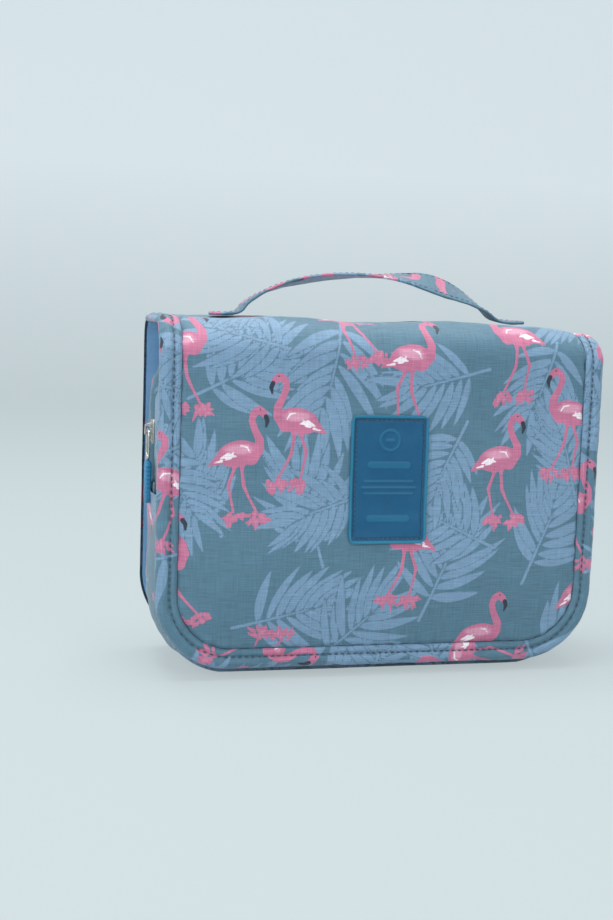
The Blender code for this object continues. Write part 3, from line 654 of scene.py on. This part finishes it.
# Lining of the cover: thin plain blue taffeta, loose enough to wrinkle, seen between the bridge and
# the pouch from the sides and all over the inside when the bag is opened out.
lining, nodes, links, shader = tinted("blue_lining", (0.150, 0.330, 0.560), 0.5)
height, shade = weave(nodes, links, 0.0003, 0.00026, 0.5)
soft = nodes.new("ShaderNodeMapRange")
soft.inputs["To Min"].default_value = 0.84
soft.inputs["To Max"].default_value = 1.14
links.new(shade, soft.inputs["Value"])
links.new(blended(nodes, links, 1.0, (0.175, 0.355, 0.570), soft.outputs[0], "MULTIPLY"),
          shader.inputs["Base Color"])
raised(nodes, links, shader, height, 0.0001, 0.6)
shader.inputs["Sheen Weight"].default_value = 0.25

count_x, count_s = ((170, 170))
across, s = np.meshgrid(np.linspace(-1, 1, count_x), np.linspace(0.0075, STRIP_TOP - 0.001, count_s))
drop = np.clip(0.045 - s, 0, 0.0375)
half = 0.1182 - 0.0375 + np.sqrt(np.maximum(0.0375 ** 2 - drop ** 2, 0))
x = across * half
deep = 0.0078 - 0.0038 * np.clip((s - S_FOLD + 0.008) / (ARC_FRONT + 0.008), 0, 1)
deep = deep - 0.0011 * np.clip(1.6 - np.abs(x) / 0.011, 0, 1) * np.clip(2.4 - s / 0.016, 0, 1)
lift = (-deep + np.minimum(0.0005 * drift(x, s, 31, 0.03) + 0.0003 * drift(x, s, 32, 0.011) - 0.0004,
                           0.0002) * (0.4 + 0.6 * (s > 0.15)))
inner = grid("flap_lining_cloth", on_cover(x, s, lift), lining, flip=True, uv=np.stack([x, s], axis=-1))
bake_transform(inner)
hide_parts("flap_lining", "bridge_lining")
across, s = np.meshgrid(np.linspace(-1, 1, count_x), np.linspace(STRIP_TOP - 0.005, S_END - 0.003, count_s))
drop = np.clip(s - (S_END - 0.0395), 0, 0.0365)
half = 0.1182 - 0.0375 + np.sqrt(np.maximum(0.0375 ** 2 - drop ** 2, 0))
x = across * half
lift = -0.0031 - np.abs(0.0004 * drift(x, s, 33, 0.022)) * (s < S_BACK + 0.03)
inner_back = grid("back_lining_cloth", on_cover(x, s, lift), lining, flip=True, uv=np.stack([x, s], axis=-1))
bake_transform(inner_back)
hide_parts("back_lining")

# Pouch walls: one gusset of canvas round the sides, lower half whole and upper half split by the
# zip. It bellies out between the seams and creases at the corners.
POUCH_X, POUCH_TOP, POUCH_R = 0.116, 0.1742, 0.038
SEAM_Z, ZIP_Y, PF, PB = 0.0932, 0.005, -0.0240, 0.0322


def pouch_line(z_end, above, step=0.0012):
    """Outline of the pouch in x and z with outward normal and distance, from z_end on the left to z_end
    on the right."""
    turn = np.linspace(0, math.pi / 2, 60)
    h, r = POUCH_X, POUCH_R
    if above:
        x = np.concatenate([[-h], -h + r - r * np.cos(turn), h - r + r * np.sin(turn), [h]])
        z = np.concatenate([[z_end], POUCH_TOP - r + r * np.sin(turn), POUCH_TOP - r + r * np.cos(turn),
                            [z_end]])
    else:
        x = np.concatenate([[-h], -h + r - r * np.cos(turn), h - r + r * np.sin(turn), [h]])
        z = np.concatenate([[z_end], r - r * np.sin(turn), r - r * np.cos(turn), [z_end]])
    run = np.concatenate([[0], np.cumsum(np.hypot(np.diff(x), np.diff(z)))])
    at = np.linspace(0, run[-1], int(run[-1] / step))
    x, z = np.interp(at, run, x), np.interp(at, run, z)
    tx, tz = np.gradient(x, at), np.gradient(z, at)
    size = np.hypot(tx, tz)
    hand = -1.0 if above else 1.0
    return x, z, hand * tz / size, -hand * tx / size, at


def wall(name, line, y0, y1, belly, mat, seed, nodes_for, body, offset=0.0, hem=0.0012,
         by_zip=False):
    """Puffed band on the pouch's outline from y0 to y1: belly outwards, slow waves, creases across it at
    the corners."""
    x, z, nx, nz, at = line
    count = max(8, int(abs(y1 - y0) / 0.0011))
    v = np.linspace(0, 1, count)
    y = y0 + (y1 - y0) * v
    full = np.sin(math.pi * v) ** 0.6
    if by_zip:
        full = full * np.clip((np.abs(y - ZIP_Y) - 0.0052) / 0.0045, 0, 1) ** 1.5
    corner = np.clip(1.6 * np.abs(nx * nz) * 2, 0, 1)[:, None]
    vv, aa = np.meshgrid(y, at)
    waves = (0.0010 * drift(aa, vv * 0.6, seed, 0.035) + 0.0006
             * np.abs(drift(aa, vv * 0.35, seed + 1, 0.014)) * (0.35 + corner))
    lift = belly * full[None, :] + waves * full[None, :] - hem * (1 - full[None, :]) ** 4 - offset
    points = np.stack([x[:, None] + nx[:, None] * lift, np.broadcast_to(y, lift.shape),
                       z[:, None] + nz[:, None] * lift], axis=-1)
    points[..., 2] = np.maximum(points[..., 2], 0.0002)
    uv = np.stack([aa + 0.37 * seed, vv], axis=-1)
    fields = print_fields(vv + 0.03 * seed, aa + 0.05 * seed) if mat is printed else None
    obj = grid(name, points, mat, flip=(nz[len(nz) // 2] < 0) == (y1 < y0), uv=uv, fields=fields)
    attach(obj, body)
    if nodes_for:
        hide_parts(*nodes_for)
    return obj


below = pouch_line(SEAM_Z, False)
over = pouch_line(SEAM_Z, True)
wall("gusset_lower_cloth", below, PB, -0.0214, 0.0022, printed, 41, ["lower_gusset"], "pouch")
wall("gusset_rear_cloth", over, PB, ZIP_Y + 0.0026, 0.0018, printed, 43, ["rear_gusset"], "pouch",
     by_zip=True)
wall("gusset_lid_cloth", over, ZIP_Y - 0.0026, -0.0214, 0.0018, printed, 45, ["lid_gusset"], "lid",
     by_zip=True)

# Main zip: nylon coil sewn on pale teal tape, running over the top from one side of the pouch to
# the other. Each half of the coil stays with its own side when the lid opens.
tape, nodes, links, shader = tinted("teal_tape", (0.200, 0.400, 0.450), 0.7)
height, shade = weave(nodes, links, 0.0007, 0.0005, 0.6)
raised(nodes, links, shader, height, 0.00018, 0.9)
soft = nodes.new("ShaderNodeMapRange")
soft.inputs["To Min"].default_value = 0.78
soft.inputs["To Max"].default_value = 1.2
links.new(shade, soft.inputs["Value"])
links.new(blended(nodes, links, 1.0, (0.200, 0.400, 0.450), soft.outputs[0], "MULTIPLY"),
          shader.inputs["Base Color"])
coil_look, nodes, links, shader = tinted("nylon_coil", (0.330, 0.520, 0.560), 0.34)
grain = nodes.new("ShaderNodeTexCoord")
speck = nodes.new("ShaderNodeTexNoise")
speck.inputs["Scale"].default_value = 900.0
links.new(grain.outputs["Object"], speck.inputs["Vector"])
links.new(maths(nodes, links, "MULTIPLY_ADD", speck.outputs["Fac"], 0.3, 0.2), shader.inputs["Roughness"])
links.new(blended(nodes, links, speck.outputs["Fac"], (0.26, 0.44, 0.48), (0.40, 0.60, 0.63)),
          shader.inputs["Base Color"])
over_fine = pouch_line(SEAM_Z + 0.0012, True, 0.00026)


def bead(name, line, y, sink, radius, mat, body, nodes_for=(), ribs=0.0, pitch=0.0011, sides=10,
         spacing=0.0):
    """Round bead following the pouch's outline; ribs raise it once every pitch, as the turns of a coil do."""
    x, z, nx, nz, at = line
    a = np.linspace(0, 2 * math.pi, sides, endpoint=False)
    swell = (radius + ribs * np.abs(np.sin(math.pi * at / pitch)))[:, None]
    ends = np.clip(np.minimum(at, at[-1] - at) / 0.0008, 0.15, 1)[:, None]
    wave = spacing * drift(at, at * 0, 61, 0.05)[:, None]
    out = swell * ends * np.cos(a)[None, :] - sink + wave
    points = np.stack([x[:, None] + nx[:, None] * out, y + swell * ends * np.sin(a)[None, :] + wave * 0.5,
                       z[:, None] + nz[:, None] * out], axis=-1)
    points[..., 2] = np.maximum(points[..., 2], 0.0003)
    uv = np.stack([np.broadcast_to(at[:, None], out.shape) + 0.21, np.broadcast_to(a * radius, out.shape)],
                  axis=-1)
    fields = print_fields(uv[..., 1] + 0.02, uv[..., 0]) if mat is printed else None
    obj = grid(name, points, mat, wrap_cols=True, flip=nz[len(nz) // 2] > 0, uv=uv, fields=fields,
               capped=(0, -1))
    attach(obj, body)
    if nodes_for:
        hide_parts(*nodes_for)
    return obj


over_short = pouch_line(SEAM_Z + 0.0012, True)
wall("zip_tape_rear_cloth", over_short, ZIP_Y + 0.0085, ZIP_Y + 0.0003, 0.0, tape, 51, ["zip_tape_rear"],
     "pouch", offset=0.0024, hem=0.0)
wall("zip_tape_lid_cloth", over_short, ZIP_Y - 0.0003, ZIP_Y - 0.0085, 0.0, tape, 53, ["zip_tape_front"],
     "lid", offset=0.0024, hem=0.0)
bead("zip_coil_rear_turns", over_fine, ZIP_Y + 0.0013, 0.0009, 0.00095, coil_look, "pouch",
     ["zip_coil_rear"], ribs=0.0003)
bead("zip_coil_lid_turns", over_fine, ZIP_Y - 0.0013, 0.0009, 0.00095, coil_look, "lid",
     ["zip_coil_front"], ribs=0.0003)

# Piping: canvas over a cord, in the seam between the gusset and the front of the pouch and lid.
bead("pouch_piping_cord", pouch_line(SEAM_Z - 0.0012, False, 0.0009), -0.0232, 0.0014, 0.0017, printed,
     "pouch", ["lower_piping"], sides=14, spacing=0.0001)
bead("lid_piping_cord", pouch_line(SEAM_Z + 0.0012, True, 0.0009), -0.0232, 0.0014, 0.0017, printed, "lid",
     ["lid_piping"], sides=14, spacing=0.0001)


def fill_panel(name, low, high, inset, y, puff, facing, mat, seed, body, nodes_for,
               counts=(150, 60)):
    """Puffed panel filling the pouch's outline between two heights: half width follows the rounded
    corners."""
    h, r = POUCH_X - inset, POUCH_R - inset
    count_x, count_z = counts
    t, z = np.meshgrid(np.linspace(-1, 1, count_x),
                       np.linspace(max(low, inset + 0.0002), min(high, POUCH_TOP - inset - 0.0002), count_z))
    into = np.maximum(np.maximum(inset + r - z, z - (POUCH_TOP - inset - r)), 0)
    half = h - r + np.sqrt(np.maximum(r * r - into * into, 1e-8))
    x = t * half
    edge = np.minimum(np.minimum(half - np.abs(x), z - z.min()), z.max() - z)
    rise = (puff * (1 - np.exp(-edge / 0.014)) + 0.3 * puff * drift(x, z, seed, 0.03)
            * (1 - np.exp(-edge / 0.006)))
    points = np.stack([x, y + facing * rise, z], axis=-1)
    fields = print_fields(x * 1.0 + 0.02 * seed, z + 0.013 * seed) if mat is printed else None
    obj = grid(name, points, mat, flip=facing > 0, uv=np.stack([x, z], axis=-1), fields=fields)
    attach(obj, body)
    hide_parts(*nodes_for)
    return obj


fill_panel("pouch_front_cloth", 0.0, SEAM_Z - 0.0003, 0.0030, -0.0237, 0.0006, -1, printed, 71, "pouch",
           ["lower_front_panel"], (240, 95))
fill_panel("lid_front_cloth", SEAM_Z + 0.0003, 1.0, 0.0030, -0.0237, 0.0006, -1, printed, 72, "lid",
           ["lid_panel"], (240, 85))
fill_panel("lid_lining_cloth", SEAM_Z + 0.0005, 1.0, 0.0036, -0.0212, 0.0005, 1, lining, 73, "lid",
           ["lid_lining"])
fill_panel("pouch_front_lining", 0.0, SEAM_Z - 0.0005, 0.0036, -0.0214, 0.0005, 1, lining, 74, "pouch",
           [])

# Inner bag: loose blue lining sewn in behind the zip, with a wrinkled back wall.
x, z, nx, nz, at = pouch_line(SEAM_Z, True, 0.004)
xl, zl, nxl, nzl, atl = pouch_line(SEAM_Z, False, 0.004)
lx, lz = np.concatenate([x, xl[::-1][1:-1]]), np.concatenate([z, zl[::-1][1:-1]])
lnx, lnz = np.concatenate([nx, nxl[::-1][1:-1]]), np.concatenate([nz, nzl[::-1][1:-1]])
rings = []
for inset, y, shrink in ((0.0031, 0.0137, 1.0), (0.0033, 0.0220, 1.0), (0.0033, 0.0296, 1.0),
                         (0.0044, 0.0308, 1.0)):
    rings.append(np.stack([lx - lnx * inset, np.full(len(lx), y), lz - lnz * inset], axis=-1))
for k in np.linspace(0.95, 0.02, 26):
    ring = np.stack([(lx - lnx * 0.0044) * k, np.full(len(lx), 0.0309),
                     0.087 + (lz - lnz * 0.0044 - 0.087) * k], axis=-1)
    ring[:, 1] -= 0.0003 + 0.0003 * drift(ring[:, 0], ring[:, 2], 75, 0.03)
    rings.append(ring)
rings = np.array(rings)
inner_bag = grid("inner_bag_lining", rings, lining, wrap_cols=True, flip=True, capped=(-1,),
                 uv=np.stack([rings[..., 0] + rings[..., 1], rings[..., 2]], axis=-1))
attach(inner_bag, "pouch")
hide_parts("compartment_liner")

# Handle: a folded strap of the canvas, stitched along both edges, its ends sewn flat on the bridge.
# It stands up in a low arch and turns a little towards the front on its right half.
def strap(name, path, across, width, thick, mat, seed=0, around=28, square=0.3):
    """Flat band with rounded edges along a path; across is the direction of its width at each point."""
    ahead = np.gradient(path, axis=0)
    ahead /= np.linalg.norm(ahead, axis=1)[:, None]
    across = across - ahead * np.sum(across * ahead, axis=1)[:, None]
    across /= np.linalg.norm(across, axis=1)[:, None]
    out_way = np.cross(ahead, across)
    a = np.linspace(0, 2 * math.pi, around, endpoint=False)
    cw = np.sign(np.cos(a)) * np.abs(np.cos(a)) ** square * 0.5
    ct = np.sign(np.sin(a)) * np.abs(np.sin(a)) ** 0.6 * 0.5
    at = np.concatenate([[0], np.cumsum(np.linalg.norm(np.diff(path, axis=0), axis=1))])
    cap = np.clip(np.minimum(at, at[-1] - at) / 0.0006, 0.2, 1)
    w = np.asarray(width) * cap
    t = np.asarray(thick) * cap
    points = (path[:, None, :] + across[:, None, :] * (w[:, None] * cw[None, :])[..., None]
              + out_way[:, None, :] * (t[:, None] * ct[None, :])[..., None])
    points = (points + out_way[:, None, :]
              * (0.00012 * drift(at[:, None] + 0 * a, a[None, :] * 0.004, seed, 0.012))[..., None])
    run = np.cumsum(np.concatenate([[0], np.hypot(np.diff(cw) * np.max(width), np.diff(ct) * np.max(thick))]))
    uv = np.stack([np.broadcast_to(at[:, None], points.shape[:2]) + 0.05 * seed,
                   np.broadcast_to(run[None, :], points.shape[:2])], axis=-1)
    fields = print_fields(uv[..., 1] + 0.052, uv[..., 0] + 0.012) if mat is printed else None
    obj = grid(name, points, mat, wrap_cols=True, uv=uv, fields=fields, capped=(0, -1))
    edge_l = path + across * (w * 0.5 - 0.0022)[:, None]
    edge_r = path - across * (w * 0.5 - 0.0022)[:, None]
    return obj, edge_l, edge_r, out_way, t


knots = np.array([(-0.0880, 0.0016), (-0.0790, 0.0017), (-0.0730, 0.0030), (-0.0680, 0.0082),
                  (-0.0560, 0.0152), (-0.0380, 0.0206),
                  (-0.0150, 0.0238), (0.0120, 0.0240), (0.0330, 0.0216), (0.0510, 0.0160), (0.0650,
                      0.0085), (0.0720, 0.0032),
                  (0.0790, 0.0017), (0.0880, 0.0016)])
flat_line = smooth_line(knots, 230)
path = np.stack([flat_line[:, 0], np.full(230, 0.008), TOP_Z + flat_line[:, 1]], axis=1)
tilt = np.radians(34 * np.exp(-((flat_line[:, 0] - 0.040) / 0.024) ** 2) - 10
                  * np.exp(-((flat_line[:, 0] + 0.035) / 0.03) ** 2))
across = np.stack([0 * tilt, np.cos(tilt), np.sin(tilt)], axis=1)
wide = 0.0196 - 0.0016 * np.exp(-((np.abs(flat_line[:, 0]) - 0.069) / 0.006) ** 2)
handle, edge_l, edge_r, out_way, t = strap("handle_strap_cloth", path, across, wide, 0.0019, printed, 6, 56)
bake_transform(handle)
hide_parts("handle_strap", "handle_foot_left", "handle_foot_right")
for tag, edge_line in (("front", edge_r), ("rear", edge_l)):
    pick = np.arange(4, 226, 4)
    up_row = stitch_row(f"handle_stitch_{tag}",
                        edge_line[pick] + out_way[pick] * (t[pick] * 0.5 - 0.0001)[:, None],
                        np.gradient(edge_line, axis=0)[pick], out_way[pick], thread, long=0.0021)
    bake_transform(up_row)

# Label: a soft moulded rubber patch sewn on the flap, deep blue with a lighter raised rim. Its
# raised marks are a plain ring and bars.
LABEL_W, LABEL_H, LABEL_Z = 0.042, 0.067, 0.105
moulded, nodes, links, shader = tinted("moulded_rubber", (0.012, 0.130, 0.262), 0.42)
key = nodes.new("ShaderNodeAttribute")
key.attribute_name = "rim"
grain = nodes.new("ShaderNodeTexCoord")
dust = nodes.new("ShaderNodeTexNoise")
dust.inputs["Scale"].default_value = 160.0
dust.inputs["Detail"].default_value = 5.0
links.new(grain.outputs["Object"], dust.inputs["Vector"])
field = blended(nodes, links, dust.outputs["Fac"], (0.003, 0.070, 0.158), (0.007, 0.096, 0.200))
links.new(blended(nodes, links, key.outputs["Fac"], field, (0.020, 0.175, 0.280)),
          shader.inputs["Base Color"])
links.new(maths(nodes, links, "MULTIPLY_ADD", dust.outputs["Fac"], 0.25, 0.36), shader.inputs["Roughness"])
shader.inputs["Specular IOR Level"].default_value = 0.28
fine = nodes.new("ShaderNodeTexNoise")
fine.inputs["Scale"].default_value = 1400.0
links.new(grain.outputs["Object"], fine.inputs["Vector"])
raised(nodes, links, shader, fine.outputs["Fac"], 0.00006, 0.6)

cols, rows = ((126, 196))
a, b = np.meshgrid(np.linspace(-1.03, 1.03, cols), np.linspace(-1.02, 1.02, rows))
over_edge = np.maximum(np.maximum(np.abs(a) - 1, (np.abs(b) - 1) * 1.5), 0) / 0.03
lx, lz = np.clip(a, -1, 1) * LABEL_W / 2, np.clip(b, -1, 1) * LABEL_H / 2
R = 0.004
dx, dz = np.clip((np.abs(lx) - LABEL_W / 2 + R) / R, 0, 1), np.clip((np.abs(lz) - LABEL_H / 2 + R) / R, 0, 1)
lx = np.sign(lx) * (np.minimum(np.abs(lx), LABEL_W / 2 - R) + R * dx * np.sqrt(1 - dz * dz / 2))
lz = np.sign(lz) * (np.minimum(np.abs(lz), LABEL_H / 2 - R) + R * dz * np.sqrt(1 - dx * dx / 2))
inside = np.minimum(LABEL_W / 2 - np.abs(np.clip(a, -1, 1)) * LABEL_W / 2,
                    LABEL_H / 2 - np.abs(np.clip(b, -1, 1)) * LABEL_H / 2)


def block(cx, cz, w, h, soft=0.0004):
    """Raised bar with rounded ends and soft edges, 0 to 1."""
    qx, qz = np.maximum(np.abs(lx - cx) - w / 2 + h / 2, 0), np.abs(lz - cz)
    return np.clip((h / 2 - np.hypot(qx, qz)) / soft + 0.5, 0, 1)


rim = np.clip((0.0014 - inside) / 0.0003 + 0.5, 0, 1)
ring = np.clip((0.0006 - np.abs(np.hypot(lx, lz - 0.0205) - 0.0052)) / 0.0004 + 0.5, 0, 1)
marks = np.maximum.reduce([ring, block(0, 0.0205, 0.0052, 0.0016), block(0, 0.0075, 0.0235, 0.0034),
                           block(0, -0.0010, 0.0270, 0.0010),
                           block(0, -0.0042, 0.0300, 0.0010), block(0, -0.0074, 0.0270, 0.0010),
                           block(0, -0.0205, 0.0235, 0.0034)])
rise = (0.0012 + 0.00055 * rim + 0.00035 * marks - 0.0003 * np.exp(-((inside - 0.0026) / 0.0006) ** 2)
        - np.clip(over_edge, 0, 1) * 0.0012)
under = flap_lift(lx, lz + LABEL_Z, np.full(lx.shape, 0.05))
label = grid("rubber_patch", on_cover(lx, lz + LABEL_Z, under + rise - 0.0001), moulded,
             uv=np.stack([lx, lz], axis=-1),
             fields={"rim": rim * 0.9 + marks * 0.35})
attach(label, "flap")
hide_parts("label_patch")
w, h = LABEL_W / 2 - 0.0026, LABEL_H / 2 - 0.0026
run_x, run_z = np.arange(-w, w + 1e-5, 2 * w / 14), np.arange(-h, h + 1e-5, 2 * h / 24)
rx = np.concatenate([run_x, np.full(23, w), run_x[::-1], np.full(23, -w)])
rz = np.concatenate([np.full(15, -h), run_z[1:-1], np.full(15, h), run_z[::-1][1:-1]])
go = np.concatenate([np.tile((1, 0), (15, 1)), np.tile((0, 1), (23, 1)), np.tile((-1, 0), (15, 1)),
                     np.tile((0, -1), (23, 1))])
spots = on_cover(rx, rz + LABEL_Z, flap_lift(rx, rz + LABEL_Z, np.full(rx.shape, 0.05)) + 0.0011)
label_row = stitch_row("patch_stitches", spots, np.stack([go[:, 0], 0 * rx, go[:, 1]], axis=1).astype(float),
                       np.tile((0.0, -1.0, 0.0), (len(rx), 1)), thread, long=0.0020, thick=0.00034)
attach(label_row, "flap")

# Metal: die-cast zinc with a bright nickel wash, a little worn and dusty in the hollows.
nickel, nodes, links, shader = tinted("nickel_wash", (0.62, 0.60, 0.56), 0.26, 1.0)
grain = nodes.new("ShaderNodeTexCoord")
patina = nodes.new("ShaderNodeTexNoise")
patina.inputs["Scale"].default_value = 420.0
patina.inputs["Detail"].default_value = 6.0
links.new(grain.outputs["Object"], patina.inputs["Vector"])
links.new(blended(nodes, links, patina.outputs["Fac"], (0.42, 0.40, 0.36), (0.74, 0.73, 0.70)),
          shader.inputs["Base Color"])
links.new(maths(nodes, links, "MULTIPLY_ADD", patina.outputs["Fac"], 0.35, 0.12), shader.inputs["Roughness"])
raised(nodes, links, shader, patina.outputs["Fac"], 0.00005, 0.5)


def finish_node(name, mat, levels=0, soft=0.0):
    """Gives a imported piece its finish, and rounds it with a bevel or a subdivision."""
    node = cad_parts[name]
    node.data.materials.clear()
    node.data.materials.append(mat)
    node.data.polygons.foreach_set("use_smooth", np.ones(len(node.data.polygons), bool))
    node.data.set_sharp_from_angle(angle=math.radians(38))
    if soft or levels:
        mod = node.modifiers.new("join", "WELD")
        mod.merge_threshold = 0.00001
    if soft:
        mod = node.modifiers.new("soft_edge", "BEVEL")
        mod.width = soft
        mod.segments = 3
        mod.limit_method = "ANGLE"
        mod.angle_limit = math.radians(35)
        mod.use_clamp_overlap = True
    if levels:
        mod = node.modifiers.new("round", "SUBSURF")
        mod.levels = mod.render_levels = levels


finish_node("zip_slider", nickel, soft=0.0003)
finish_node("zip_pull_ring", nickel, levels=2)
finish_node("pocket_slider", nickel, soft=0.0003)

# Pull tab: moulded blue rubber with a grip of shallow cross ribs, hung in the wire ring.
tab_rubber, nodes, links, shader = tinted("tab_rubber", (0.010, 0.125, 0.330), 0.48)
grain = nodes.new("ShaderNodeTexCoord")
split = nodes.new("ShaderNodeSeparateXYZ")
links.new(grain.outputs["Object"], split.inputs[0])
ribs = maths(nodes, links, "SINE", maths(nodes, links, "MULTIPLY", split.outputs[2], 2 * math.pi / 0.0022))
haze = nodes.new("ShaderNodeTexNoise")
haze.inputs["Scale"].default_value = 300.0
links.new(grain.outputs["Object"], haze.inputs["Vector"])
links.new(blended(nodes, links, haze.outputs["Fac"], (0.016, 0.165, 0.330), (0.028, 0.230, 0.430)),
          shader.inputs["Base Color"])
raised(nodes, links, shader, maths(nodes, links, "ADD", ribs, haze.outputs["Fac"]), 0.00018, 0.8)
finish_node("zip_pull_tab", tab_rubber, soft=0.0005)
finish_node("pocket_pull", tab_rubber, soft=0.0002)

# Hook and its socket: black moulded nylon, semi-gloss with a fine spark-eroded grain.
nylon, nodes, links, shader = tinted("black_nylon", (0.022, 0.025, 0.032), 0.35)
grain = nodes.new("ShaderNodeTexCoord")
spark = nodes.new("ShaderNodeTexNoise")
spark.inputs["Scale"].default_value = 1500.0
links.new(grain.outputs["Object"], spark.inputs["Vector"])
links.new(maths(nodes, links, "MULTIPLY_ADD", spark.outputs["Fac"], 0.3, 0.22), shader.inputs["Roughness"])
links.new(blended(nodes, links, spark.outputs["Fac"], (0.016, 0.018, 0.024), (0.034, 0.038, 0.046)),
          shader.inputs["Base Color"])
raised(nodes, links, shader, spark.outputs["Fac"], 0.00003, 0.3)
finish_node("hanging_hook", nylon, levels=1)
finish_node("swivel_socket", nylon, soft=0.0003)


# Woven trims: webbing, elastic, mesh pockets and touch tape, each a coarse weave of its own pitch
# read straight off the flat piece.
def trim_cloth(name, colour, pitch, rough, depth):
    mat, nodes, links, shader = tinted(name, colour, rough)
    place = nodes.new("ShaderNodeTexCoord")
    split = nodes.new("ShaderNodeSeparateXYZ")
    links.new(place.outputs["Object"], split.inputs[0])
    waves = [maths(nodes, links, "SINE",
                   maths(nodes, links, "MULTIPLY", split.outputs[k], 2 * math.pi / pitch)) for k in (0, 2)]
    across_y = maths(nodes, links, "SINE",
                     maths(nodes, links, "MULTIPLY", split.outputs[1], 2 * math.pi / pitch))
    cells = maths(nodes, links, "MULTIPLY_ADD", maths(nodes, links, "MULTIPLY", waves[0], waves[1]), 0.5, 0.5)
    cells = maths(nodes, links, "ADD", cells, maths(nodes, links, "MULTIPLY", across_y, 0.2))
    cloud = nodes.new("ShaderNodeTexNoise")
    cloud.inputs["Scale"].default_value = 260.0
    links.new(place.outputs["Object"], cloud.inputs["Vector"])
    tone = maths(nodes, links, "MULTIPLY_ADD", cloud.outputs["Fac"], 0.5, 0.5)
    tone = maths(nodes, links, "MULTIPLY", tone, maths(nodes, links, "MULTIPLY_ADD", cells, 0.4, 0.85))
    links.new(blended(nodes, links, 1.0, colour, tone, "MULTIPLY"), shader.inputs["Base Color"])
    raised(nodes, links, shader, cells, depth, 0.9)
    shader.inputs["Sheen Weight"].default_value = 0.2
    return mat


webbing = trim_cloth("ribbed_webbing", (0.085, 0.210, 0.300), 0.0011, 0.7, 0.0003)
mesh_look = trim_cloth("pocket_mesh", (0.090, 0.190, 0.300), 0.0016, 0.75, 0.0004)
elastic_look = trim_cloth("ribbed_elastic", (0.055, 0.130, 0.230), 0.0009, 0.7, 0.0003)
touch_look = trim_cloth("touch_tape", (0.070, 0.120, 0.180), 0.0007, 0.9, 0.0005)
end_look = trim_cloth("end_tab_canvas", (0.130, 0.250, 0.320), 0.0006, 0.6, 0.0002)
for name, mat in (("hook_anchor", webbing), ("hook_webbing", webbing), ("zip_end_left", end_look),
                  ("zip_end_right", end_look),
                  ("loop_pad_left", touch_look), ("loop_pad_right", touch_look), ("hook_pad_left",
                      touch_look), ("hook_pad_right", touch_look),
                  ("lid_pocket_binding", elastic_look), ("elastic_loops", elastic_look), ("lid_pocket",
                      mesh_look), ("flap_pocket", mesh_look),
                  ("pocket_zip_tape", tape), ("pocket_coil", coil_look)):
    finish_node(name, mat, soft=0.00015)
finish_node("pocket_zip_tape", trim_cloth("pocket_tape", (0.200, 0.400, 0.450), 0.0007, 0.7, 0.0002))
